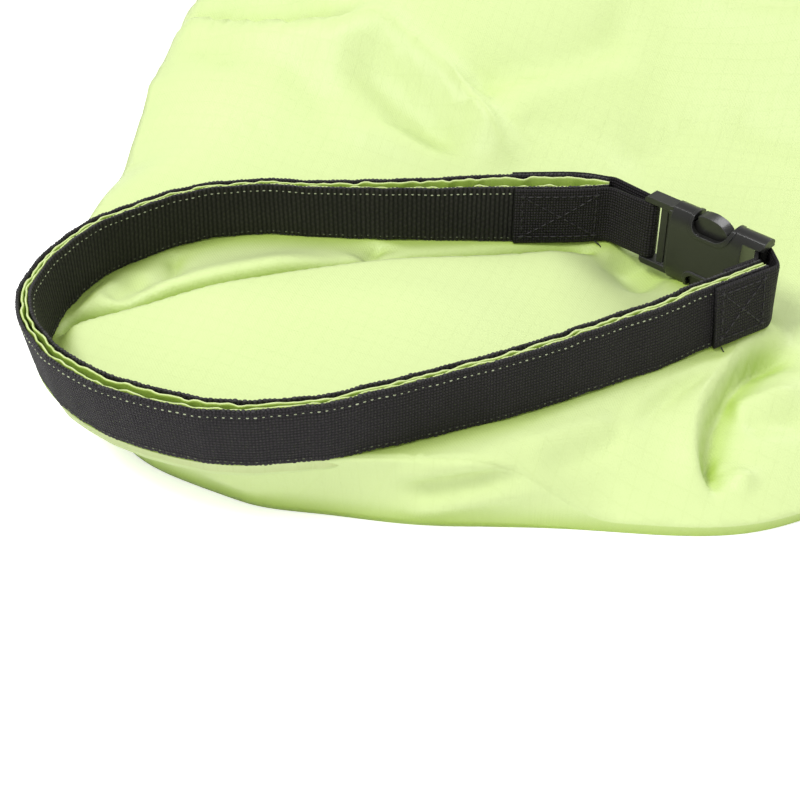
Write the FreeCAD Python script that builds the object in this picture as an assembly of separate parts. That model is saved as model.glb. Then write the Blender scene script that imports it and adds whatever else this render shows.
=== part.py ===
import FreeCAD, Part
import math
import os
from FreeCAD import Vector

# Roll-top stuff sack lying lightly filled on a table, mouth bent into a loop and buckled.
# Units are mm. Plan positions below are in the mouth frame, whose origin is the middle of
# the mouth loop. The part frame is the mouth frame shifted by FRAME_SHIFT; +Z is up.
FRAME_SHIFT = Vector(-134, -230, 0)
REACH = 900.0                 # further than the sack reaches any way

# --- webbing band around the mouth -----------------------------------------------------
WEB_WIDTH = 20.0
WEB_THICK = 1.3
HEM_THICK = 0.7
BAND_BOTTOM = 26.0
BAND_MIDDLE = BAND_BOTTOM + WEB_WIDTH / 2
HEM_BELOW_EDGE = 0.5          # the fabric hems end this far below the webbing's top edge
HEM_FOOT = 10.0               # and reach this far below its bottom edge, into the body
SEWN_GAP = 0.15               # between layers that are sewn together
BAND_SAMPLES = 50             # points along each long face of the band

# Stations along the mouth slit, from the female buckle end round to the male buckle end:
# x, y of the slit's middle line at mid-height, outward lean of the band's top edge over
# half its width, and width of the slit between the two hems.
MOUTH = [
    (109.7, 11.2, -1.2, 0.5),
    (94.0, 1.4, -1.2, 0.6),
    (78.7, -8.6, -1.2, 0.6),
    (42.4, -29.0, -0.6, 0.6),
    (8.6, -44.6, 0.0, 0.6),
    (-22.7, -55.2, 0.8, 0.8),
    (-44.0, -57.4, 1.2, 1.6),
    (-65.0, -52.6, 1.5, 2.4),
    (-86.5, -39.6, 1.7, 2.0),
    (-101.5, -23.0, 1.7, 1.2),
    (-108.0, -4.0, 1.4, 0.6),
    (-104.5, 19.0, 0.4, 0.5),
    (-92.0, 40.5, -0.8, 0.5),
    (-72.0, 56.2, -1.3, 0.5),
    (-48.0, 62.6, -1.5, 0.6),
    (-16.0, 61.2, -1.2, 2.0),
    (10.0, 61.5, -0.8, 3.8),
    (34.0, 62.2, -0.1, 5.2),
    (50.0, 62.5, -0.1, 5.6),
    (61.0, 62.4, -0.1, 4.4),
    (68.0, 61.6, -0.1, 0.8),
]
FRONT_PATCH = 22.0            # sewn length of the webbing tab at the female buckle end
REAR_PATCH = 31.0             # and at the male buckle end
INNER_PATCH = 13.0            # hidden leg of the female buckle's tab, inside the loop
TAB_FOLD = Vector(113.4, 11.2, 0)   # where that tab folds sharply, past the band's end

# --- fabric body -----------------------------------------------------------------------
UNDER_WEBBING = 0.6           # the fabric's surface lies this far under the webbing
RIM_HEIGHT = BAND_BOTTOM - UNDER_WEBBING
FILL_HEIGHT = 100.0           # height of the filled body
UNDER_BAND = 2.2              # the body's edge stands this far outside the slit's side
# Under the front and left of the band the body's edge follows the mouth's stations from
# the first to the last of these, and its ground line is set in by the lengths below.
EDGE_STATIONS = (5, 11)
EDGE_INSETS = [7, 14, 18, 19, 19, 18, 18]
# The rest of the plan outline: x, y, and how far the ground line is inset.
FRONT_OUTLINE = [(125, -47, 6), (100, -57, 2), (50, -56, 1), (2, -55.5, 2)]
BODY_OUTLINE = [
    (-107, 50, 20), (-102, 92, 24), (-94, 145, 26), (-81, 195, 26), (-54, 290, 26),
    (-24, 400, 26), (-3, 474, 26), (22, 508, 26), (72, 511, 24), (190, 480, 22),
    (308, 450, 24), (353, 425, 26), (363, 380, 26), (344, 280, 26), (320, 175, 26),
    (288, 82, 26), (246, 28, 24), (188, -14, 16),
]
SIDE_LEVELS = [(0.0, 1.0), (24.0, 0.0), (112.0, 0.0)]
RISE_LENGTH = 180.0           # the body swells from rim height to fill height over this
REAR_FOOT_Y = 66.0            # where the swell starts, just behind the rear band
SIDE_FOOT = (75.0, 66.0)      # right of here the swell starts along a slanting line
SIDE_DIR = (0.64, 0.77)
BUCKLE_DIP = 5.2              # the fabric sinks under the buckle
FRONT_SHOULDER = 64.0         # over which the top falls away towards the outline, in front
BODY_SHOULDER = 120.0         # and round the filled body
SECTION_STEP = 30.0           # spacing of the sections that the top surface runs through
GRID_STEP = 20.0              # and of the points along each section
SLIT_FLOOR = 21.0             # the slit is open down to here under the band
POCKET_FLOOR = 8.0            # and down to here where it gapes, beside the male half
POCKET_RUN = (60.0, 9.0)      # the gaping stretch, as distances before the slit's end
POCKET_LEDGE = 0.2            # step between the two on each side

AXIS_TURN = 14.0              # the body's long axis leans this far right of +Y, degrees
BASE_PLANE = 478.0            # distance of the base seam along that axis
BINDING_WIDTH, BINDING_THICK = 9.0, 0.8
SEAM_WIDTH, SEAM_THICK, SEAM_MIDDLE = 8.0, 0.6, 40.0
SEAM_FROM = Vector(200, 60, 0)      # the side seam shows right of and behind this point
SEAM_START = 40.0                   # and this far along the body's axis

# --- side-release buckle ---------------------------------------------------------------
BUCKLE_START = Vector(79.6, 50.7, BAND_MIDDLE)   # middle of the male half's outer end
BUCKLE_TURN = -44.4                              # its axis against +X, degrees
BUCKLE_LENGTH = 45.0
BUCKLE_HALF_W = 13.5          # half width of the female half
BUCKLE_HALF_T = 4.3           # half thickness over its middle
EDGE_HALF_T = 2.5             # half thickness at its edges and rails
RIM_S, WINDOW_S, SHOULDER_S = 11.4, 19.4, 33.2   # rim, window and shoulder along the axis
SCOOP_T = 7.4                 # the windows' scoops reach this near the axis
CAVITY_T, CAVITY_HALF = 11.1, 2.95
CAVITY_END = 33.0
MALE_HALF_W = 12.3
RAIL = 2.1                    # width of the rails beside the webbing slots
BAR_RADIUS = 1.25             # round bars that the webbing tabs wrap
MALE_BAR_S, MALE_MID_BAR = 1.65, (6.2, 8.7)
FEMALE_BAR_S, FEMALE_SLOT = 43.3, (37.8, 42.6)
RUN = 0.3                     # running clearance between the halves
ARM_HALF_T = 2.2
ARM_PIVOT = (13.4, 8.6)       # along the axis, and off it
KNUCKLE, KNUCKLE_PLAY = 1.35, 0.06
GUIDE_END = 30.0


# ------------------------------------------------------------------ helpers
def smoothstep(t):
    """Ease from 0 to 1."""
    t = min(max(t, 0.0), 1.0)
    return t * t * (3 - 2 * t)


def spline(points, closed=False):
    """Smooth curve through points."""
    curve = Part.BSplineCurve()
    curve.interpolate(Points=points, PeriodicFlag=closed)
    return curve


def closed_wire(points):
    return Part.Wire([spline(points, True).toShape()])


def save(shape, node):
    """Move a finished solid to the part frame and write it."""
    shape = shape.copy()
    shape.translate(FRAME_SHIFT)
    shape.exportStep("parts/" + node + ".step")


def solid_of(shape):
    """The largest solid of a boolean's result."""
    return max(shape.Solids, key=lambda s: s.Volume)


def box(x0, x1, y0, y1, z0, z1):
    return Part.makeBox(x1 - x0, y1 - y0, z1 - z0, Vector(x0, y0, z0))


# ------------------------------------------------------------------ mouth band
class MouthLine:
    """The slit's middle line with its lean and gap, read by distance along it."""

    def __init__(self, stations):
        marks = [Vector(x, y, 0) for x, y, _, _ in stations]
        runs = [0.0]
        for a, b in zip(marks, marks[1:]):
            runs.append(runs[-1] + (b - a).Length)
        self.runs = runs
        self.length = runs[-1]
        self.line = Part.BSplineCurve()
        self.line.interpolate(Points=marks, Parameters=runs)
        self.form = Part.BSplineCurve()
        forms = [Vector(k, g, run) for (_, _, k, g), run in zip(stations, runs)]
        self.form.interpolate(Points=forms, Parameters=runs)

    def gap(self, s):
        return max(self.form.value(s).y, 0.4)

    def point(self, s, offset, z):
        """A point offset outwards from the slit's middle, at height z."""
        t = self.line.tangent(s)[0]
        outward = Vector(-t.y, t.x, 0)       # the stations run clockwise from above
        lean = self.form.value(s).x * (z - BAND_MIDDLE) / (WEB_WIDTH / 2)
        return self.line.value(s) + outward * (offset + lean) + Vector(0, 0, z)

    def side(self, s0, s1, offset, z, count, pinch=0.0):
        """Points along one face, offset from the hem line by `offset` on its own side.

        The slit is taken as narrower by `pinch` on each side.
        """
        sign = 1 if offset >= 0 else -1
        step = (s1 - s0) / (count - 1)
        marks = []
        for i in range(count):
            s = s0 + i * step
            marks.append(self.point(s, offset + sign * (self.gap(s) / 2 - pinch), z))
        return marks


def ribbon(mouth, near, far, z0, z1, s0=0.0, s1=None, count=BAND_SAMPLES, pinch=0.0):
    """A band between two offsets from the slit, from z0 to z1, along s0 to s1."""
    s1 = mouth.length if s1 is None else s1
    wires = []
    for z in (z0, z1):
        inner = mouth.side(s0, s1, near, z, count, pinch)
        outer = mouth.side(s0, s1, far, z, count, pinch)
        wires.append(Part.makePolygon(inner + outer[::-1] + inner[:1]))
    return Part.makeLoft(wires, True, True)


def slit_channel(mouth):
    """The space between the two hems, deeper where the slit gapes."""
    tiny = 1e-6
    top = BAND_BOTTOM + WEB_WIDTH + 10
    first, last = (mouth.length - run for run in POCKET_RUN)
    return [ribbon(mouth, -tiny, tiny, SLIT_FLOOR, top),
            ribbon(mouth, -tiny, tiny, POCKET_FLOOR, SLIT_FLOOR + 1, first, last, 8,
                   POCKET_LEDGE)]


# ------------------------------------------------------------------ fabric body
def outline_stations(mouth):
    """The body's plan outline: (point, ground inset), clockwise seen from above."""
    first, last = EDGE_STATIONS
    under = []
    for s, inset in zip(mouth.runs[first:last + 1], EDGE_INSETS):
        edge = mouth.point(s, UNDER_BAND + mouth.gap(s) / 2, BAND_MIDDLE)
        under.append((Vector(edge.x, edge.y, 0), inset))
    front = [(Vector(x, y, 0), inset) for x, y, inset in FRONT_OUTLINE]
    return front + under + [(Vector(x, y, 0), inset) for x, y, inset in BODY_OUTLINE]


def outline_wire(stations, inward, z, share):
    """The plan outline at one level, moved inwards by a share of each station's inset."""
    closed = spline([p for p, _ in stations], True)
    marks = []
    for p, inset in stations:
        t = closed.tangent(closed.parameter(p))[0]
        inside = Vector(t.y, -t.x, 0)
        marks.append(p + inside * (inward + inset * share) + Vector(0, 0, z))
    return closed_wire(marks)


def edge_distance(x, y, fine):
    """Distance from a plan point to the outline, negative outside it."""
    near = min(math.hypot(x - p.x, y - p.y) for p in fine)
    inside = False
    for a, b in zip(fine, fine[1:] + fine[:1]):
        if (a.y > y) != (b.y > y) and x < (b.x - a.x) * (y - a.y) / (b.y - a.y) + a.x:
            inside = not inside
    return near if inside else -near


def soft_max(a, b, width):
    """The larger of two values, eased where they meet."""
    return (a + b + math.sqrt((a - b) ** 2 + width ** 2)) / 2


def top_height(x, y, fine):
    """Height of the fabric's upper surface."""
    slant = SIDE_DIR[0] * (x - SIDE_FOOT[0]) + SIDE_DIR[1] * (y - SIDE_FOOT[1])
    q = soft_max(slant, y - REAR_FOOT_Y, 18) - 4
    rim = RIM_HEIGHT - BUCKLE_DIP * smoothstep((x - 48) / 50)
    rise = (FILL_HEIGHT - rim) * smoothstep(q / RISE_LENGTH)
    shoulder = soft_max(FRONT_SHOULDER * smoothstep((x - 5) / 95),
                        BODY_SHOULDER * smoothstep((y - 62) / 130), 1.0)
    d = edge_distance(x, y, fine)
    low = 0.86 - 0.50 * smoothstep((y - 15) / 75)
    fall = low * smoothstep(shoulder / 40) * max(0.0, 1 - d / shoulder) ** 2
    return (rim + rise) * max(1 - fall, 0.1)


def under_top(stations, raised):
    """Everything below the upper surface, raised by `raised`, as strips between sections."""
    fine = spline([p for p, _ in stations], True).discretize(240)[:-1]
    low = [min(p[i] for p in fine) - 12 for i in (0, 1)]
    high = [max(p[i] for p in fine) + 12 for i in (0, 1)]
    across, along = (math.ceil((b - a) / step)
                     for a, b, step in zip(low, high, (GRID_STEP, SECTION_STEP)))
    sections = []
    for j in range(along + 1):
        y = low[1] + j * (high[1] - low[1]) / along
        top = []
        for i in range(across + 1):
            x = low[0] + i * (high[0] - low[0]) / across
            top.append(Vector(x, y, top_height(x, y, fine) + raised))
        under = [Vector(p.x, p.y, -60) for p in (top[-1], top[0])]
        sections.append(Part.makePolygon(top + under + top[:1]))
    return Part.makeLoft(sections, True, True)


def body_volume(stations, proud=0.0):
    """The filled body, swollen by `proud` on its top and sides."""
    wires = [outline_wire(stations, -proud, z, share) for z, share in SIDE_LEVELS]
    sides = Part.makeLoft(wires, True, True)
    return solid_of(sides.common(under_top(stations, proud)))


def axis_slab(a0, a1):
    """Everything between two planes across the body's long axis."""
    slab = box(-REACH, REACH, a0, a1, -REACH, REACH)
    slab.rotate(Vector(0, 0, 0), Vector(0, 0, 1), -AXIS_TURN)
    return slab


def fabric_nodes(mouth, stations):
    """The filled body cut at its base seam, with the mouth slit open."""
    outer = body_volume(stations)
    body = outer.cut(slit_channel(mouth))
    body = solid_of(body.common(axis_slab(-REACH, BASE_PLANE - SEWN_GAP)))
    base = solid_of(outer.common(axis_slab(BASE_PLANE, REACH)))
    return outer, body, base


def strip_on(stations, outer, proud, slab):
    """A flat seam strip that lies on the fabric where `slab` cuts it."""
    return solid_of(body_volume(stations, proud).common(slab).cut(outer))


# ------------------------------------------------------------------ webbing tabs
def strap(paths):
    """A flat strap on edge: its lower and upper edges follow two lists of plan points."""
    wires = []
    for marks, z in zip(paths, (BAND_BOTTOM, BAND_BOTTOM + WEB_WIDTH)):
        left, right = [], []
        for i, p in enumerate(marks):
            before = marks[max(i - 1, 0)]
            after = marks[min(i + 1, len(marks) - 1)]
            t = (after - before).normalize()
            across = Vector(-t.y, t.x, 0) * (WEB_THICK / 2)
            left.append(Vector(p.x, p.y, z) + across)
            right.append(Vector(p.x, p.y, z) - across)
        loop = left + right[::-1]
        wires.append(Part.makePolygon(loop + loop[:1]))
    return Part.makeLoft(wires, True, True)


def rounded(marks, radius, steps=3):
    """Plan points with each inner corner turned smoothly."""
    out = [marks[0]]
    for a, b, c in zip(marks, marks[1:], marks[2:]):
        reach = min(radius, (b - a).Length * 0.45, (c - b).Length * 0.45)
        p = b + (a - b).normalize() * reach
        q = b + (c - b).normalize() * reach
        for i in range(steps + 1):
            t = i / steps
            out.append(p * (1 - t) ** 2 + b * (2 * t * (1 - t)) + q * t ** 2)
    return out + marks[-1:]


def buckle_point(s, w, z=0.0):
    """A plan point at s along the buckle's axis and w across its thickness."""
    turn = math.radians(BUCKLE_TURN)
    along = Vector(math.cos(turn), math.sin(turn), 0)
    across = Vector(-along.y, along.x, 0)
    return Vector(BUCKLE_START.x, BUCKLE_START.y, z) + along * s + across * w


def wrap(s_bar, came, going, steps=8):
    """Plan points round a webbing bar, anticlockwise, tangent to the runs on both sides."""
    centre = buckle_point(s_bar, 0)
    radius = BAR_RADIUS + RUN + WEB_THICK / 2
    angles = []
    for sign, p in ((1, came), (-1, going)):
        away = p - centre
        angles.append(math.atan2(away.y, away.x) + sign * math.acos(radius / away.Length))
    first, last = angles
    last += 2 * math.pi * math.ceil((first - last) / (2 * math.pi))
    marks = []
    for i in range(steps + 1):
        a = first + (last - first) * i / steps
        marks.append(centre + Vector(math.cos(a), math.sin(a), 0) * radius)
    return marks


def leg(mouth, s0, s1, offset, z, count=5):
    """Plan points of a tab leg that lies on the band's face, at height z."""
    return [Vector(p.x, p.y, 0) for p in mouth.side(s0, s1, offset, z, count)]


def male_tab(mouth):
    """Tab sewn round the rear end of the band and looped through the male half."""
    off = HEM_THICK + WEB_THICK * 1.5 + 3 * SEWN_GAP
    end = mouth.length
    paths = []
    for z in (BAND_BOTTOM, BAND_BOTTOM + WEB_WIDTH):
        inner = leg(mouth, end - REAR_PATCH, end, -off, z)
        outer = leg(mouth, end, end - REAR_PATCH, off, z)
        past_in = inner[-1] + Vector(1.5, -0.6, 0)
        past_out = outer[0] + Vector(1.5, 0.2, 0)
        turn = wrap(MALE_BAR_S, past_in, past_out)
        into = rounded([inner[-1], past_in, turn[0]], 3)
        back = rounded([turn[-1], past_out, outer[0]], 3)
        paths.append(inner[:-1] + into[:-1] + turn + back[1:-1] + outer)
    return strap(paths)


def female_tab(mouth):
    """Tab folded sharply round the front end of the band to the female half."""
    off = HEM_THICK + WEB_THICK * 1.5 + 3 * SEWN_GAP
    paths = []
    for z in (BAND_BOTTOM, BAND_BOTTOM + WEB_WIDTH):
        outer = leg(mouth, FRONT_PATCH, 0.0, off, z)
        inner = leg(mouth, 0.0, INNER_PATCH, -off, z)
        turn = wrap(FEMALE_BAR_S, TAB_FOLD, inner[0])
        fold = rounded(outer + [TAB_FOLD, turn[0]], 1.6)
        paths.append(fold[:-1] + turn + rounded([turn[-1]] + inner, 1.6)[1:])
    return strap(paths)


# ------------------------------------------------------------------ buckle
# The buckle is drawn with x along its axis, y across its width and z through its
# thickness, then stood on edge: its width becomes +Z of the part.
def place_buckle(shape):
    shape = shape.copy()
    shape.rotate(Vector(0, 0, 0), Vector(1, 0, 0), 90)
    shape.rotate(Vector(0, 0, 0), Vector(0, 0, 1), BUCKLE_TURN)
    shape.translate(BUCKLE_START)
    return shape


def prism(points, half):
    """A profile in the buckle's face plane, thickened to both sides."""
    face = Part.Face(Part.makePolygon([Vector(x, y, -half) for x, y in points + points[:1]]))
    return face.extrude(Vector(0, 0, 2 * half))


def curved_prism(edges, half):
    face = Part.Face(Part.Wire(Part.sortEdges(edges)[0]))
    face.translate(Vector(0, 0, -half))
    return face.extrude(Vector(0, 0, 2 * half))


def lens(s0, s1, half_w, half_t, edge_t, flat):
    """A bar along the axis whose section thins from its flat middle to rounded edges."""
    def at(y, z):
        return Vector(s0, y, z)
    edges = []
    for k in (1, -1):
        edges.append(Part.makeLine(at(-flat, k * half_t), at(flat, k * half_t)))
    for k in (1, -1):
        edges.append(Part.Arc(at(k * flat, half_t), at(k * (flat + 2.6), half_t - 0.35),
                              at(k * (half_w - 0.8), edge_t)).toShape())
        edges.append(Part.Arc(at(k * flat, -half_t), at(k * (flat + 2.6), -half_t + 0.35),
                              at(k * (half_w - 0.8), -edge_t)).toShape())
        edges.append(Part.Arc(at(k * (half_w - 0.8), edge_t), at(k * half_w, 0),
                              at(k * (half_w - 0.8), -edge_t)).toShape())
    face = Part.Face(Part.Wire(Part.sortEdges(edges)[0]))
    return face.extrude(Vector(s1 - s0, 0, 0))


def scoop_profile(side, grow):
    """Outline of one side window in the face plane, grown by `grow`."""
    deep = SCOOP_T - grow
    s0, s1 = WINDOW_S - grow, SHOULDER_S + grow
    top = BUCKLE_HALF_W + 3
    marks = [
        (s0, top), (s0, deep + 3.2), (s0 + 0.9, deep + 1.0), (s0 + 3.0, deep),
        (s1 - 5.4, deep), (s1 - 2.6, deep + 1.1), (s1 - 1.0, deep + 3.0), (s1 + 1.6, top),
    ]
    v = [Vector(x, side * y, 0) for x, y in marks]
    return [
        Part.makeLine(v[0], v[1]),
        Part.Arc(v[1], v[2], v[3]).toShape(),
        Part.makeLine(v[3], v[4]),
        Part.Arc(v[4], v[5], v[6]).toShape(),
        Part.makeLine(v[6], v[7]),
        Part.makeLine(v[7], v[0]),
    ]


def round_bar(s, half_len):
    return Part.makeCylinder(BAR_RADIUS, 2 * half_len, Vector(s, -half_len, 0), Vector(0, 1, 0))


def female_half():
    """Housing with rim, side windows, lips round their scoops, shoulder and web bar."""
    body = lens(RIM_S, BUCKLE_LENGTH, BUCKLE_HALF_W, BUCKLE_HALF_T, EDGE_HALF_T, 6.5)
    lips = []
    for side in (1, -1):
        ring = curved_prism(scoop_profile(side, 1.1), BUCKLE_HALF_T + 0.45)
        lips.append(ring.common(lens(RIM_S + 4, SHOULDER_S + 4, BUCKLE_HALF_W,
                                     BUCKLE_HALF_T + 0.45, EDGE_HALF_T + 0.45, 6.5)))
    body = body.fuse(lips)
    tail = WEB_WIDTH / 2 + 0.35
    cuts = [
        box(RIM_S - 1, CAVITY_END, -CAVITY_T, CAVITY_T, -CAVITY_HALF, CAVITY_HALF),
        box(FEMALE_SLOT[0], BUCKLE_LENGTH + 1, -tail, tail, -9, 9),
    ]
    for side in (1, -1):
        cuts.append(curved_prism(scoop_profile(side, 0.0), 9))
    body = body.cut(cuts)
    # the tail narrows to its webbing bar
    wedge = [(SHOULDER_S + 5.5, BUCKLE_HALF_T + 2), (BUCKLE_LENGTH + 1, EDGE_HALF_T - 0.2),
             (BUCKLE_LENGTH + 1, BUCKLE_HALF_T + 2)]
    for k in (1, -1):
        face = Part.Face(Part.makePolygon([Vector(x, -20, k * z) for x, z in wedge + wedge[:1]]))
        body = body.cut(face.extrude(Vector(0, 40, 0)))
    body = body.fuse(round_bar(FEMALE_BAR_S, tail + 0.5))
    return solid_of(body.removeSplitter())


def male_half():
    """Ladder-lock frame, yoke with two knuckle sockets, and the centre guide."""
    w = MALE_HALF_W
    frame = prism([(0.9, w), (RIM_S - RUN, w), (RIM_S - RUN, -w), (0.9, -w), (0, -w + 0.9),
                   (0, w - 0.9)], EDGE_HALF_T)
    inner = w - RAIL
    frame = frame.cut(box(-1, RIM_S - RUN - 0.2 - 0.9, -inner, inner, -6, 6))
    frame = frame.fuse([
        round_bar(MALE_BAR_S, inner + 0.3),
        prism([(MALE_MID_BAR[0], inner + 0.3), (MALE_MID_BAR[1], inner + 0.3),
               (MALE_MID_BAR[1], -inner - 0.3), (MALE_MID_BAR[0], -inner - 0.3)], 1.7),
    ])
    # chamfered inner corners of the slot nearest the yoke
    end = RIM_S - RUN
    for k in (1, -1):
        frame = frame.fuse(prism([(end - 3.0, k * (inner + 0.2)), (end - 0.8, k * (inner + 0.2)),
                                  (end - 0.8, k * (inner - 2.2))], 2.0))
    yoke_half = CAVITY_T - RUN
    yoke = prism([(end - 1.2, yoke_half), (ARM_PIVOT[0] + 0.4, yoke_half),
                  (ARM_PIVOT[0] + 2.0, 4.2), (ARM_PIVOT[0] + 2.0, -4.2),
                  (ARM_PIVOT[0] + 0.4, -yoke_half), (end - 1.2, -yoke_half)],
                 CAVITY_HALF - RUN)
    guide = prism([(ARM_PIVOT[0] + 1.5, 1.7), (GUIDE_END - 1.6, 1.5), (GUIDE_END, 0.7),
                   (GUIDE_END, -0.7), (GUIDE_END - 1.6, -1.5), (ARM_PIVOT[0] + 1.5, -1.7)], 1.6)
    male = frame.fuse([yoke, guide])
    for side in (1, -1):
        male = male.cut(arm_room(side))
    return solid_of(male.removeSplitter())


def arm_room(side):
    """The socket and throat that one arm turns in."""
    s, t = ARM_PIVOT
    reach = KNUCKLE + KNUCKLE_PLAY
    hole = Part.makeCylinder(reach, 12, Vector(s, side * t, -6), Vector(0, 0, 1))
    throat = prism([(s, side * (t - reach - 1.0)), (s + 6, side * (t - reach - 3.2)),
                    (s + 6, side * (CAVITY_T + 1)), (s, side * (t + reach + 0.55))], 6)
    cut_back = box(s + 0.55, s + 7, -20, 20, -7, 7)
    return hole.fuse(throat.common(cut_back))


def latch_arm(side):
    """Springing arm: knuckle, slender beam and the thumb pad with its catch."""
    s, t = ARM_PIVOT
    beam_in, beam_out = t - 1.05, t + 1.05
    v = [Vector(x, side * y, 0) for x, y in [
        (s, beam_out), (WINDOW_S - 0.4, beam_out + 0.35), (WINDOW_S + 0.75, 11.2),
        (WINDOW_S + 0.8, 12.2), (WINDOW_S + 1.6, 12.9), (WINDOW_S + 5.4, 13.25),
        (WINDOW_S + 9.6, 12.1), (SHOULDER_S - 1.2, 8.7), (SHOULDER_S - 2.0, 7.4),
        (SHOULDER_S - 3.4, 6.5), (WINDOW_S + 4.0, 6.1), (WINDOW_S + 0.6, beam_in - 0.35),
        (s, beam_in)]]
    edges = [
        Part.makeLine(v[0], v[1]), Part.makeLine(v[1], v[2]), Part.makeLine(v[2], v[3]),
        Part.Arc(v[3], Vector(WINDOW_S + 1.0, side * 12.72, 0), v[4]).toShape(),
        Part.Arc(v[4], v[5], v[6]).toShape(),
        Part.Arc(v[6], Vector(SHOULDER_S - 2.3, side * 10.55, 0), v[7]).toShape(),
        Part.Arc(v[7], v[8], v[9]).toShape(), Part.makeLine(v[9], v[10]),
        Part.makeLine(v[10], v[11]), Part.makeLine(v[11], v[12]), Part.makeLine(v[12], v[0]),
    ]
    arm = curved_prism(edges, ARM_HALF_T)
    knuckle = Part.makeCylinder(KNUCKLE, 2 * ARM_HALF_T, Vector(s, side * t, -ARM_HALF_T),
                                Vector(0, 0, 1))
    arm = arm.fuse(knuckle)
    return solid_of(arm.removeSplitter())


# ------------------------------------------------------------------ build
def main():
    os.makedirs("parts", exist_ok=True)
    mouth = MouthLine(MOUTH)
    stations = outline_stations(mouth)
    outer, body, base = fabric_nodes(mouth, stations)
    save(body, "body_fabric")
    save(base, "base_panel")

    half = BINDING_WIDTH / 2
    around = axis_slab(BASE_PLANE - half, BASE_PLANE + half)
    save(strip_on(stations, outer, BINDING_THICK, around), "base_binding")

    side = box(SEAM_FROM.x, REACH, SEAM_FROM.y, REACH,
               SEAM_MIDDLE - SEAM_WIDTH / 2, SEAM_MIDDLE + SEAM_WIDTH / 2)
    side = side.common(axis_slab(SEAM_START, BASE_PLANE - half - SEWN_GAP))
    save(strip_on(stations, outer, SEAM_THICK, side), "side_seam")

    top = BAND_BOTTOM + WEB_WIDTH
    hem0, hem1 = 1e-6, HEM_THICK
    web0, web1 = HEM_THICK + SEWN_GAP, HEM_THICK + SEWN_GAP + WEB_THICK
    for name, sign in (("outer", 1), ("inner", -1)):
        hem = ribbon(mouth, sign * hem0, sign * hem1, BAND_BOTTOM - HEM_FOOT,
                     top - HEM_BELOW_EDGE)
        save(solid_of(hem.cut(outer)), name + "_hem")
        web = ribbon(mouth, sign * web0, sign * web1, BAND_BOTTOM, top)
        save(solid_of(web.cut(outer)), name + "_webbing")

    save(male_tab(mouth), "male_tab")
    save(female_tab(mouth), "female_tab")
    save(place_buckle(female_half()), "buckle_female")
    save(place_buckle(male_half()), "buckle_male")
    save(place_buckle(latch_arm(1)), "latch_arm_upper")
    save(place_buckle(latch_arm(-1)), "latch_arm_lower")


main()
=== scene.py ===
"""Looks of a roll-top stuff sack: lime ripstop body, black webbing mouth and side-release buckle.

Sizes below are in millimetres in the mouth frame, whose origin is the middle of the mouth
loop; `to_part` turns them into metres in the part's frame.
"""

import logging
import math
from dataclasses import dataclass
from enum import Enum
from typing import Iterable, Sequence

import bmesh
import bpy
import numpy as np
from mathutils import Euler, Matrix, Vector
from mathutils.geometry import delaunay_2d_cdt


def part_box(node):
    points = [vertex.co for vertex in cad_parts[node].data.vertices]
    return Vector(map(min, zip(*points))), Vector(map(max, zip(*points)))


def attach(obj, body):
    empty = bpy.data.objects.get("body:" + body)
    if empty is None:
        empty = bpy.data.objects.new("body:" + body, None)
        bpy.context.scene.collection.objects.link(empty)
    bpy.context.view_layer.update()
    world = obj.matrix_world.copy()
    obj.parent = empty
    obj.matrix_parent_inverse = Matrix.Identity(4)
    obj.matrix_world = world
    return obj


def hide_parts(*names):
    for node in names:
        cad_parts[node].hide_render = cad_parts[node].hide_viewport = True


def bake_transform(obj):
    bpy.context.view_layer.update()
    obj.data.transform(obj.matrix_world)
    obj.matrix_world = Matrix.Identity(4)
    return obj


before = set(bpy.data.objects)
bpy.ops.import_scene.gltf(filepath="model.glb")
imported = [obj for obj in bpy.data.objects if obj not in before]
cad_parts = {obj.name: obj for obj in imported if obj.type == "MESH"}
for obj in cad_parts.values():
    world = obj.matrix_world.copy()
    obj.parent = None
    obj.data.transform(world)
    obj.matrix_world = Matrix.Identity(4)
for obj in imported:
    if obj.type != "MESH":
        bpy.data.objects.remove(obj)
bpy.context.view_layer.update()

LOG = logging.getLogger("stuff_sack")
MM = 0.001
MOUTH_ORIGIN = np.array((-134.0, -230.0, 0.0))
SEED = 7


# ------------------------------------------------------------------ small helpers
def to_part(points: np.ndarray) -> np.ndarray:
    """Mouth-frame millimetres as part-frame metres."""
    return (np.asarray(points, float) + MOUTH_ORIGIN) * MM


def smoothstep(t: np.ndarray) -> np.ndarray:
    """Ease from 0 to 1, elementwise."""
    t = np.clip(t, 0.0, 1.0)
    return t * t * (3 - 2 * t)


def soft_max(a: np.ndarray, b: np.ndarray, width: float) -> np.ndarray:
    """The larger of two values, eased where they meet."""
    return (a + b + np.sqrt((a - b) ** 2 + width ** 2)) / 2


def waves(x: np.ndarray, seed: int, longest: float, count: int = 5) -> np.ndarray:
    """Smooth repeatable wobble of about unit size along one coordinate.

    Args:
        x: where it is read.
        seed: which wobble.
        longest: its longest wave.
        count: how many waves are added up.

    Returns:
        The wobble at each x.
    """
    rng = np.random.default_rng(seed)
    total = np.zeros_like(np.asarray(x, float))
    for k in range(count):
        size = 0.75 ** k
        total += size * np.sin(2 * math.pi * x / (longest * 0.62 ** k) + rng.uniform(0, 2 * math.pi))
    return total / 1.8


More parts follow.
